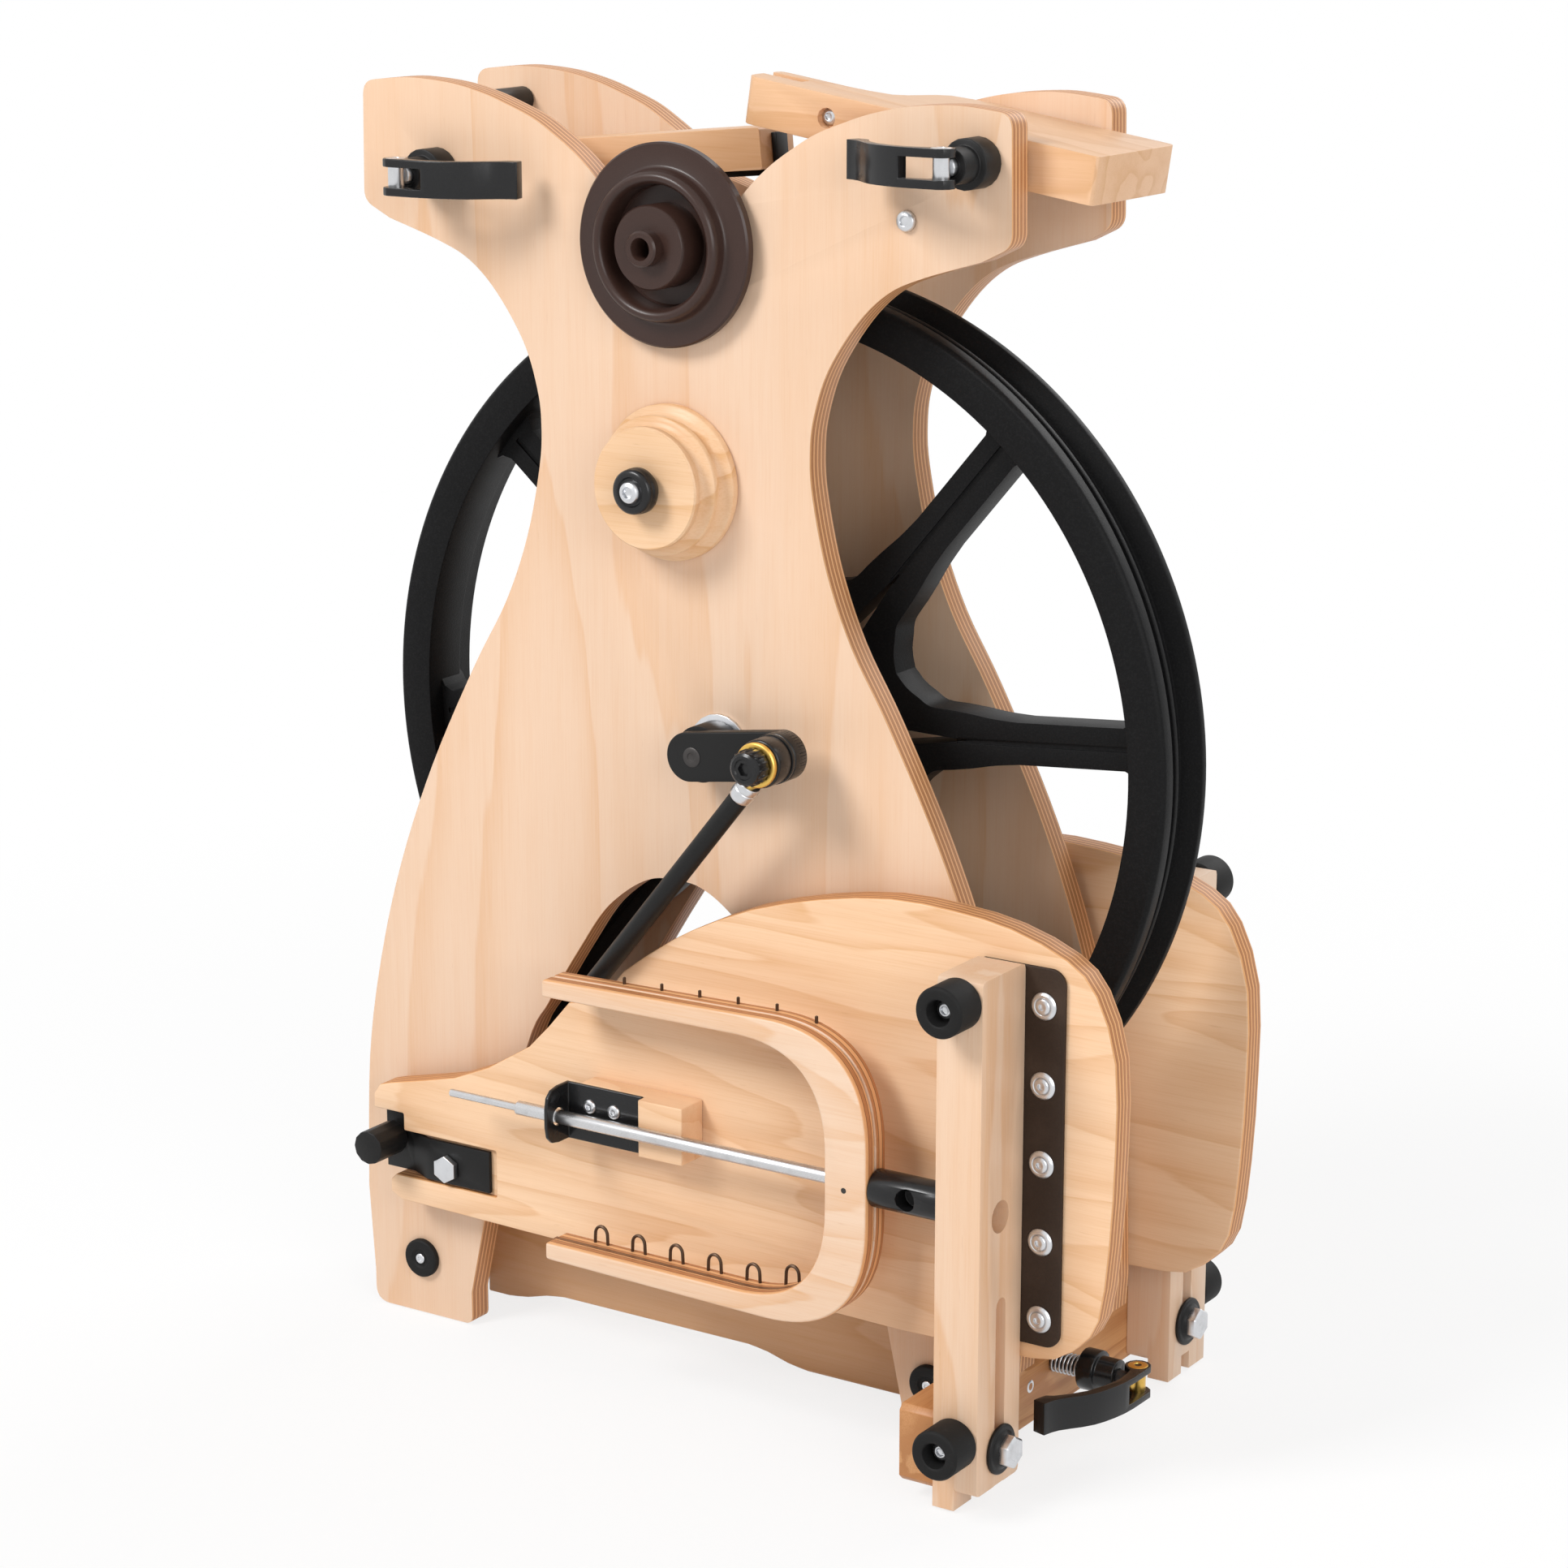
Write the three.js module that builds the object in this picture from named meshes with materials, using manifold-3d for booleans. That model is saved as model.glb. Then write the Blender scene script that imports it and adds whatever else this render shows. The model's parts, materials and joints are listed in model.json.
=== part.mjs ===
// Travel spinning wheel, folded: two hourglass plywood panels with a drive wheel between them,
// a double treadle folded up against the panels, and the flyer stored on the front treadle.
//
// Frame: millimetres, +Z up. Every size here is measured from x = 0 at the drive wheel's axle,
// y = 0 midway between the panels and z = 0 at the floor under the panels' feet. The front panel
// faces -Y. Each finished piece is then moved so that x = 0 is the middle of the whole length.

import * as THREE from 'three';
import { mergeVertices } from 'three/addons/utils/BufferGeometryUtils.js';
import Module from 'manifold-3d';

const wasm = await Module();
wasm.setup();

// Driving dimensions of the whole object.
const axleHeight = 300;
const panelThickness = 12.7;
const panelGap = 70.6;
const panelOverAxle = 281;
const panelHeight = axleHeight + panelOverAxle;
const footHalfWidth = 179.2;
const axleOffset = 24;
const wheelRadius = 203;
const crankRadius = 45;

// Named clearances: seated faces, turning fits, wood beside wood, and the overrun of every cut.
const seatGap = 0.25;
const runGap = 0.4;
const woodGap = 0.8;
const overrun = 2;

// Facet counts of round shapes, from coarse to fine.
const sides = { wire: 5, small: 12, medium: 20, large: 32, wheel: 72 };

const centreX = -axleOffset;
const gapHalf = panelGap / 2;
const outerFace = gapHalf + panelThickness;
const fullTurn = Math.PI * 2;
const degree = Math.PI / 180;

// Solids: every helper below returns a closed solid that can be joined and cut.

function toSolid(geometry) {
  const bare = geometry.clone();
  bare.deleteAttribute('normal');
  bare.deleteAttribute('uv');
  const merged = mergeVertices(bare, weldDistance);
  const position = merged.getAttribute('position');
  const triangles = Uint32Array.from(merged.getIndex().array);
  if (signedVolume(position, triangles) < 0) {
    for (let i = 0; i < triangles.length; i += 3) {
      [triangles[i], triangles[i + 1]] = [triangles[i + 1], triangles[i]];
    }
  }
  const mesh = new wasm.Mesh({
    numProp: 3,
    vertProperties: Float32Array.from(position.array),
    triVerts: triangles,
  });
  return new wasm.Manifold(mesh);
}

const weldDistance = 1e-4;

function signedVolume(position, triangles) {
  const a = new THREE.Vector3();
  const b = new THREE.Vector3();
  const c = new THREE.Vector3();
  let total = 0;
  for (let i = 0; i < triangles.length; i += 3) {
    a.fromBufferAttribute(position, triangles[i]);
    b.fromBufferAttribute(position, triangles[i + 1]);
    c.fromBufferAttribute(position, triangles[i + 2]);
    total += a.dot(b.cross(c));
  }
  return total;
}

function toGeometry(solid) {
  const mesh = solid.getMesh();
  const geometry = new THREE.BufferGeometry();
  geometry.setAttribute('position', new THREE.BufferAttribute(mesh.vertProperties, 3));
  geometry.setIndex(new THREE.BufferAttribute(mesh.triVerts, 1));
  geometry.computeVertexNormals();
  return geometry;
}

function join(first, ...others) {
  return others.reduce((whole, piece) => whole.add(piece), first);
}

function cut(first, ...tools) {
  return tools.reduce((whole, tool) => whole.subtract(tool), first);
}

// A prism stands on an outline. The plane names the outline's two axes, and low and high
// are the ends along the third.
const planeAxes = {
  xz: [new THREE.Vector3(1, 0, 0), new THREE.Vector3(0, 0, 1), new THREE.Vector3(0, -1, 0)],
  xy: [new THREE.Vector3(1, 0, 0), new THREE.Vector3(0, 1, 0), new THREE.Vector3(0, 0, 1)],
  yz: [new THREE.Vector3(0, 1, 0), new THREE.Vector3(0, 0, 1), new THREE.Vector3(1, 0, 0)],
};

function prism(plane, outline, low, high, holes = []) {
  const shape = new THREE.Shape(outline.map(([u, v]) => new THREE.Vector2(u, v)));
  shape.holes = holes.map((hole) => new THREE.Path(hole.map(([u, v]) => new THREE.Vector2(u, v))));
  const geometry = new THREE.ExtrudeGeometry(shape, { depth: high - low, bevelEnabled: false });
  const [u, v, w] = planeAxes[plane];
  const start = w.clone().multiplyScalar(plane === 'xz' ? -high : low);
  geometry.applyMatrix4(new THREE.Matrix4().makeBasis(u, v, w).setPosition(start));
  return toSolid(geometry);
}

function box(x, y, z) {
  const geometry = new THREE.BoxGeometry(x[1] - x[0], y[1] - y[0], z[1] - z[0]);
  geometry.translate((x[0] + x[1]) / 2, (y[0] + y[1]) / 2, (z[0] + z[1]) / 2);
  return toSolid(geometry);
}

const up = new THREE.Vector3(0, 1, 0);
const axes = {
  x: new THREE.Vector3(1, 0, 0),
  y: new THREE.Vector3(0, 1, 0),
  z: new THREE.Vector3(0, 0, 1),
};

// A turned piece: the profile's points are [radius, distance along the axis].
function turned(profile, centre, direction, count) {
  const points = profile.map(([radius, along]) => new THREE.Vector2(radius, along));
  const geometry = new THREE.LatheGeometry(points, count);
  const turn = new THREE.Quaternion().setFromUnitVectors(up, direction.clone().normalize());
  geometry.applyQuaternion(turn);
  geometry.translate(centre[0], centre[1], centre[2]);
  return toSolid(geometry);
}

function disc(centre, direction, radius, low, high, count = sides.medium) {
  return turned([[0, low], [radius, low], [radius, high], [0, high]], centre, direction, count);
}

function ring(centre, direction, inner, outer, low, high, count = sides.medium) {
  const profile = [[inner, low], [outer, low], [outer, high], [inner, high], [inner, low]];
  return turned(profile, centre, direction, count);
}

function bar(from, to, radius, count = sides.medium) {
  const start = new THREE.Vector3(...from);
  const along = new THREE.Vector3(...to).sub(start);
  return disc(from, along, radius, 0, along.length(), count);
}

function tube(points, radius, steps, count) {
  const path = new THREE.CatmullRomCurve3(points.map((point) => new THREE.Vector3(...point)));
  const section = new THREE.Shape();
  for (let i = 0; i < count; i += 1) {
    const angle = (i / count) * fullTurn;
    const place = [radius * Math.cos(angle), radius * Math.sin(angle)];
    if (i === 0) section.moveTo(...place);
    else section.lineTo(...place);
  }
  return toSolid(new THREE.ExtrudeGeometry(section, { steps, extrudePath: path }));
}

// Outline helpers, on lists of [u, v] points.

function circle(centre, radius, count) {
  return Array.from({ length: count }, (_, i) => {
    const angle = (i / count) * fullTurn;
    return [centre[0] + radius * Math.cos(angle), centre[1] + radius * Math.sin(angle)];
  });
}

// Replaces each corner by an arc of the given radius, limited by the sides that meet there.
function rounded(points, radius, steps = 4) {
  const result = [];
  points.forEach((point, i) => {
    const here = new THREE.Vector2(...point);
    const before = new THREE.Vector2(...points[(i + points.length - 1) % points.length]).sub(here);
    const after = new THREE.Vector2(...points[(i + 1) % points.length]).sub(here);
    const size = Array.isArray(radius) ? radius[i] : radius;
    const reach = Math.min(before.length(), after.length()) / 2;
    const half = Math.acos(THREE.MathUtils.clamp(
      before.clone().normalize().dot(after.clone().normalize()), -1, 1)) / 2;
    const back = Math.min(size / Math.tan(half), reach);
    if (!(back > weldDistance)) {
      result.push(point);
      return;
    }
    const start = here.clone().addScaledVector(before.normalize(), back);
    const end = here.clone().addScaledVector(after.normalize(), back);
    for (let k = 0; k <= steps; k += 1) {
      const t = k / steps;
      const a = start.clone().lerp(here, t);
      const b = here.clone().lerp(end, t);
      result.push(a.lerp(b, t).toArray());
    }
  });
  return result;
}

// The height of an outline's upper side at a place along it.
function heightAt(outline, u) {
  let highest = -Infinity;
  outline.forEach((point, i) => {
    const next = outline[(i + 1) % outline.length];
    if ((point[0] - u) * (next[0] - u) > 0) return;
    const share = (u - point[0]) / (next[0] - point[0]);
    highest = Math.max(highest, point[1] + (next[1] - point[1]) * share);
  });
  return highest;
}

function lowestAt(outline, u) {
  return -heightAt(outline.map(([along, high]) => [along, -high]), u);
}

function rectangle(u, v) {
  return [[u[0], v[0]], [u[1], v[0]], [u[1], v[1]], [u[0], v[1]]];
}

// A smooth run through chosen points, with so many steps between each two.
function smooth(points, stepsEach) {
  const curve = new THREE.SplineCurve(points.map(([u, v]) => new THREE.Vector2(u, v)));
  return curve.getPoints((points.length - 1) * stepsEach).map((point) => point.toArray());
}

// Turns a solid's outline point about a centre, for pieces that lie tilted.
function tilted(point, centre, angle) {
  const du = point[0] - centre[0];
  const dv = point[1] - centre[1];
  return [
    centre[0] + du * Math.cos(angle) - dv * Math.sin(angle),
    centre[1] + du * Math.sin(angle) + dv * Math.cos(angle),
  ];
}

// The rear treadle is the front one seen in a mirror at y = 0.
function mirrored(solid) {
  const geometry = toGeometry(solid);
  geometry.applyMatrix4(new THREE.Matrix4().makeScale(1, -1, 1));
  return toSolid(geometry);
}

// Finishes.
const finish = {
  maple: { color: 0xe3bd90, roughness: 0.5, metalness: 0 },
  wood: { color: 0xd9ab78, roughness: 0.5, metalness: 0 },
  darkWood: { color: 0xc08a54, roughness: 0.55, metalness: 0 },
  leather: { color: 0x4a2c22, roughness: 0.7, metalness: 0 },
  blackPlastic: { color: 0x1a1a1c, roughness: 0.45, metalness: 0 },
  brownPlastic: { color: 0x3a2620, roughness: 0.35, metalness: 0 },
  rubber: { color: 0x202022, roughness: 0.8, metalness: 0 },
  steel: { color: 0xb8babd, roughness: 0.3, metalness: 0.9 },
  brass: { color: 0xb89257, roughness: 0.35, metalness: 0.9 },
};

const wheelObject = new THREE.Group();
wheelObject.name = 'travel_spinning_wheel';

function assembly(name) {
  const group = new THREE.Group();
  group.name = name;
  wheelObject.add(group);
  return group;
}

function place(group, name, solid, look) {
  const geometry = toGeometry(solid);
  geometry.translate(-(board.right + centreX - footHalfWidth) / 2, 0, 0);
  const mesh = new THREE.Mesh(geometry, new THREE.MeshStandardMaterial(look));
  mesh.name = name;
  group.add(mesh);
}

// Crossbeams and base rail, which join the panels' feet.
const beam = {
  thickness: 17,
  bottom: 7.6,
  top: 42.5,
  scoopTop: 33,
  scoopHalf: 30,
  outrigger: 54.6,
  bevel: 2.5,
};
const rail = { thickness: 19, top: 50, arch: 6, rise: 33, archLeft: -150, archRight: 21 };
// The notched right feet stand just inside the crossbeam, which runs out past both panels.
const notch = { fromCentre: 151, top: 43.5 };
beam.inner = centreX + notch.fromCentre;
beam.outer = beam.inner + beam.thickness;
beam.reach = outerFace + beam.outrigger;

// Panels. The outline's widths are shares of the half width of the foot and its heights are
// shares of the panel's height, from the foot up to the lobe.
const panel = {
  footCorner: 8,
  footOuter: 176.4,
  footInner: 118.8,
  shoulderCorner: 5,
  lobeCorner: 9,
  cleft: 30,
  cleftCorner: 12,
};
const flankShares = [
  [1.0, 0.1], [0.985, 0.212], [0.938, 0.298], [0.862, 0.382], [0.753, 0.466], [0.612, 0.551],
  [0.508, 0.606], [0.439, 0.659], [0.398, 0.714], [0.391, 0.746], [0.402, 0.773], [0.441, 0.807],
  [0.521, 0.843],
];
const shoulderShares = [[0.604, 0.866], [0.7, 0.879]];
const lobeSideShares = [[0.85, 0.893], [0.929, 0.908], [0.918, 0.981]];
const lobeTopShares = [
  [0.85, 0.9985], [0.771, 1.0], [0.653, 0.9974], [0.557, 0.9914], [0.482, 0.984], [0.404, 0.9747],
  [0.344, 0.964], [0.287, 0.9523], [0.237, 0.9394], [0.2, 0.9275],
];
const archShares = [
  [0.618, 0.09], [0.471, 0.2454], [0.398, 0.2876], [0.335, 0.3194], [0.291, 0.3401],
  [0.238, 0.3644], [0.192, 0.3804], [0.124, 0.3966], [0.062, 0.4053], [0, 0.4071],
];

function sharesToPoints(shares) {
  return shares.map(([across, high]) => [across * footHalfWidth, high * panelHeight]);
}

// One half of the outline, from the top of the arch down the leg and up the flank to the cleft.
function panelHalf() {
  const arch = smooth(sharesToPoints(archShares), 1).reverse();
  const foot = rounded([
    [panel.footInner, panel.footCorner * 2],
    [panel.footInner, 0],
    [panel.footOuter, 0],
    [panel.footOuter, panel.footCorner * 2],
  ], [0, panel.footCorner / 2, panel.footCorner, 0], 3);
  const flank = smooth(sharesToPoints(flankShares), 2);
  const shoulder = sharesToPoints(shoulderShares);
  const lobeSide = rounded(sharesToPoints(lobeSideShares),
    [0, panel.shoulderCorner, panel.lobeCorner], 3);
  const top = smooth(sharesToPoints(lobeTopShares), 1);
  const cleftBottom = top[top.length - 1][1] - panel.cleft / 4;
  return [...arch, ...foot, ...flank, ...shoulder, ...lobeSide, ...top,
    [panel.cleftCorner, cleftBottom]];
}

function panelOutline(withNotch) {
  const half = panelHalf();
  const right = half.map(([across, high]) => [centreX + across, high]);
  const left = half.slice(1).reverse().map(([across, high]) => [centreX - across, high]);
  return [...right, ...left];
}

// Axle, cranks and the bearings that carry the axle in the panels.
const axle = { radius: 6 };
const bearing = { radius: 11, lip: 15, lipDepth: 1.6 };
const crank = {
  hubRadius: 12.5,
  armDepth: 6,
  armFace: 22,
  halfWidth: 10.9,
  tail: 2.3,
  pinRadius: 4,
  bossRadius: 10.9,
  bossDepth: 5.2,
  tilt: 7.9 * degree,
};
const crankCap = { radius: 8.1, depth: 8.4, socket: 3.25, socketDepth: 3, ribs: 10, ribShare: 0.93 };
const hubScrew = { radius: 4.4, height: 0.5 };
crank.armInner = outerFace + crank.armFace - crank.armDepth;
crank.armOuter = outerFace + crank.armFace;

// Quick releases: each has a rod through both panels, a stepped base and a cam lever.
const release = {
  rodRadius: 4,
  baseRadius: 10.5,
  baseStep: 7.5,
  baseDepth: 12,
  stepDepth: 23.2,
  headRadius: 9,
  headDepth: 5,
  pivotBeyondStep: 6.8,
  pinRadius: 3.4,
  leverWidth: 16,
  leverThick: 4.5,
  leverBow: 4,
  cheekLength: 15,
  cheekSlot: 8.8,
  tipThick: 6.5,
  lean: 16 * degree,
};
release.pivotOut = release.stepDepth + release.pivotBeyondStep;
const leftRelease = { x: -148, belowTop: 40, leverLength: 57, toward: 1 };
const rightRelease = { x: 127, belowTop: 22, leverLength: 53, toward: -1 };
leftRelease.z = panelHeight - leftRelease.belowTop;
rightRelease.z = panelHeight - rightRelease.belowTop;

// Maidens: the arms that carry the flyer in use, folded down between the lobes.
const frontArm = {
  thickness: 20,
  width: 65,
  tipWidth: 27.5,
  length: 171,
  beyondPivot: 45,
  tilt: -8.6 * degree,
  taperStart: 97,
  taperEnd: 127,
  corner: 9,
  tailCorner: 3,
  slotWidth: 7,
  slotLength: 19,
  slotFromEdge: 17,
  holeGap: 0.4,
  screwFromTip: 42,
  counterbore: 4.3,
  counterboreDepth: 5,
};
const rearArm = {
  thickness: 18,
  width: 26,
  length: 160,
  beyondPivot: 13,
  tilt: 5.6 * degree,
  corner: 5,
};
const rearBracket = { thickness: 2.6, halfWidth: 4.4, upShare: 0.86, underLength: 34 };

// Carrying tube at the top of the left lobes and the spacer between the right lobes.
const carryTube = { x: -163, belowTop: 15, radius: 6 };
carryTube.z = panelHeight - carryTube.belowTop;
const lobeSpacer = { x: 93.2, belowTop: 47.5, radius: 6, headRadius: 4.4, headDepth: 2.2 };
lobeSpacer.z = panelHeight - lobeSpacer.belowTop;
const lobeDrill = 3.4;
const carryScrewRadius = 3;

// Stored whorls on the front panel.
const brownWhorl = {
  x: -23.4,
  belowTop: 64.2,
  radius: 43.5,
  flangeStart: 2.5,
  flange: 5,
  edge: 1.2,
  bodyRadius: 34,
  bead: 1.6,
  crestRadius: 29.5,
  crest: 15.5,
  crestWidth: 2.6,
  recess: 26,
  floor: 2.5,
  hubRadius: 18,
  hubFace: 18,
  bossRadius: 7.7,
  bossFace: 24,
  bore: 4.5,
};
brownWhorl.z = panelHeight - brownWhorl.belowTop;
const whorlPeg = { radius: 4.1, length: 13 };
const woodWhorl = {
  x: -24,
  belowTop: 166.4,
  radius: 34.1,
  baseDepth: 4,
  firstNeck: 28.6,
  firstNeckAt: 7.4,
  stepRadius: 30.4,
  stepStart: 9.6,
  stepEnd: 12.6,
  secondNeck: 24.8,
  secondNeckAt: 15.4,
  frontRadius: 26.6,
  frontStart: 17.6,
  depth: 21.7,
};
woodWhorl.z = panelHeight - woodWhorl.belowTop;
const whorlKnob = {
  radius: 10,
  depth: 9.9,
  neck: 8,
  neckDepth: 3,
  screwRadius: 3.6,
  screwHeight: 2.4,
};
const whorlStud = { radius: 3 };

// Clamp at the middle of the right crossbeam, for the treadle bars in use.
const clamp = {
  z: 30.5,
  rodRadius: 3,
  headRadius: 5.8,
  headDepth: 3.5,
  springRadius: 5,
  springWire: 0.6,
  springTurns: 7,
  springEnd: 159.5,
  barrelRadius: 9.4,
  barrelStep: 7.2,
  barrelStart: 160,
  barrelMid: 168,
  barrelEnd: 177,
  pivotX: 186.2,
  leverWidth: 14.5,
  leverLength: 61,
  leverLean: 15 * degree,
};

// Treadle bars, each with its pivot bolt in a slot of the bar.
const treadleBar = {
  width: 35,
  thickness: 21.5,
  fromPanel: 20.5,
  top: 235,
  bottom: 9,
  tongueEnd: 0.6,
  corner: 2.5,
  notchWidth: 7.6,
  notchDepth: 8.6,
  boltFromFace: 18.5,
  boltZ: 25,
  slotWidth: 8,
  slotLength: 64,
  orificeRadius: 7.1,
  orificeZ: 129.4,
};
const pivotBolt = {
  radius: 3.2,
  washer: 11,
  washerDepth: 1.8,
  collar: 7,
  collarDepth: 1.6,
  head: 7.4,
  headDepth: 4.6,
};
const rubberFoot = { radius: 11, depth: 17.5, bore: 5.5, boreDepth: 12, topZ: 225, bottomZ: 32 };

// Treadle boards. The outline's points are shares of the board's length and height, from the
// heel's lower corner round the heel, over the top and down to the toe.
const board = {
  thickness: 12.7,
  toFace: 18.2,
  left: -184,
  right: 208,
  bottom: 58.5,
  top: 251.5,
  edge: 1.5,
};
const boardShares = [
  [0.735, 0.0], [0.903, 0.008], [0.94, 0.03], [0.963, 0.065], [0.984, 0.13], [0.995, 0.3],
  [1.0, 0.52], [0.998, 0.72], [0.974, 0.862], [0.938, 0.93], [0.87, 0.978], [0.8, 0.996],
  [0.72, 0.998], [0.63, 0.968], [0.54, 0.915], [0.46, 0.84], [0.42, 0.79], [0.395, 0.755],
];
const boardRodShares = [[0.367, 0.712], [0.342, 0.654], [0.316, 0.62], [0.29, 0.611]];
const boardToeShares = [
  [0.262, 0.545], [0.232, 0.482], [0.172, 0.408], [0.122, 0.364], [0.075, 0.34], [0.025, 0.316],
  [0.009, 0.306], [0.0, 0.28],
];
const toePocket = { depth: 2.4, right: -113, top: 97.5, bottom: 75 };
const toeFinger = { left: -175, bottom: 63, corner: 6 };
const hingeStrip = {
  thickness: 1.8,
  left: 144.5,
  right: 184.5,
  bottom: 67.5,
  top: 234,
  corner: 6,
};
const stripScrew = { x: 174.5, count: 5, first: 79.5, last: 217.5, cup: 6, cupDepth: 1.4, head: 3.7 };
const toeStrap = {
  thickness: 2,
  right: -117,
  joggle: -153.5,
  joggleRun: 11,
  left: -181,
  top: 96,
  bottom: 76,
  hornTop: 105,
  horn: 13.5,
  step: 5.4,
};
const toeBolt = { x: -141, z: 84, radius: 3, nut: 6.6, nutDepth: 3.2, back: 4.2, backRadius: 9 };
const toeKnob = { x: -174, z: 92.6, radius: 8, depth: 23, neck: 5, neckDepth: 6 };

// Storage block and bracket for the flyer.
const storeBlock = { left: -56, step: -21, right: 2.5, bottom: 118, top: 144.5, depth: 16.6, low: 10.8 };
const storeBracket = { thickness: 1.8, flangeX: -61.5, reach: 29, hole: 4.2, corner: 9 };

// Flyer.
const flyer = {
  axisFromPanel: 38.6,
  z: 130.2,
  shaftRadius: 3.2,
  tipRadius: 1.8,
  tipLeft: -122,
  shaftLeft: -84,
  shaftRight: 84,
  armLeft: -64,
  bendRight: 105,
  tipOuter: 65.5,
  tipInner: 57.5,
  bendOuter: 69,
  bendInner: 58.5,
  spineWidth: 21,
  corner: 52,
  innerCorner: 46,
  depth: 16.2,
  depthOffset: 0.4,
  groove: 1.2,
  grooveDepth: 1.4,
  layer: 7.4,
  armBevel: 2,
};
const hooks = {
  count: 6,
  first: -42,
  last: 60,
  upperFirst: -28,
  upperLast: 72,
  wire: 0.75,
  height: 9,
  width: 6.4,
  stub: 3.2,
  sink: 3,
};
const orifice = {
  radius: 8.4,
  start: 105.5,
  end: 140,
  neck: 4,
  neckEnd: 149,
  hole: 4.8,
  holeX: 124,
};

// Footman rods, one at each crank.
const footman = {
  rodRadius: 4.5,
  ferruleRadius: 5.5,
  neckShare: 0.6,
  ferruleLength: 9,
  ferruleStart: 15,
  tailZ: 190.8,
  lean: 39.9 * degree,
  rodIn: 3,
  tailIn: 9.3,
  tipLength: 8,
  tipShare: 0.6,
  eyeRadius: 10.5,
  eyeDepth: 9.4,
  eyeIn: 32.4,
  brassRadius: 9.8,
  brassLip: 3,
};

const footPad = { radius: 9.3, depth: 3, screw: 2.4, screwHeight: 0.8, leftX: -171, rightX: 109.5, z: 28 };

// The frame: panels, crossbeams, rail, tubes, bearings and foot pads.

function panelSolid() {
  const plate = prism('xz', panelOutline(), -outerFace, -gapHalf);
  const reachX = footHalfWidth + overrun;
  const corner = box(
    [beam.inner - seatGap, centreX + reachX],
    [-outerFace - overrun, -gapHalf + overrun],
    [-overrun, notch.top],
  );
  const bores = [
    disc([0, 0, axleHeight], axes.y, bearing.radius + seatGap, -outerFace - overrun,
      -gapHalf + overrun),
    ...[leftRelease, rightRelease].map(({ x, z }) => disc([x, 0, z], axes.y,
      release.rodRadius + runGap, -outerFace - overrun, -gapHalf + overrun, sides.small)),
    disc([lobeSpacer.x, 0, lobeSpacer.z], axes.y, lobeDrill, -outerFace - overrun,
      -gapHalf + overrun, sides.small),
  ];
  return cut(plate, corner, ...bores);
}

function crossbeamOutline() {
  const end = beam.reach;
  const scoop = beam.top - beam.scoopTop;
  const rise = smooth([
    [beam.scoopHalf, beam.top],
    [beam.scoopHalf - scoop / 2, beam.top - scoop * 0.85],
    [beam.scoopHalf - scoop * 1.4, beam.scoopTop],
  ], 3);
  const right = [[end - beam.bevel, beam.bottom], [end, beam.bottom + beam.bevel],
    [end, beam.top - beam.bevel], [end - beam.bevel, beam.top], ...rise];
  const left = right.map(([y, z]) => [-y, z]).reverse();
  return [...right, ...left];
}

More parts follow.
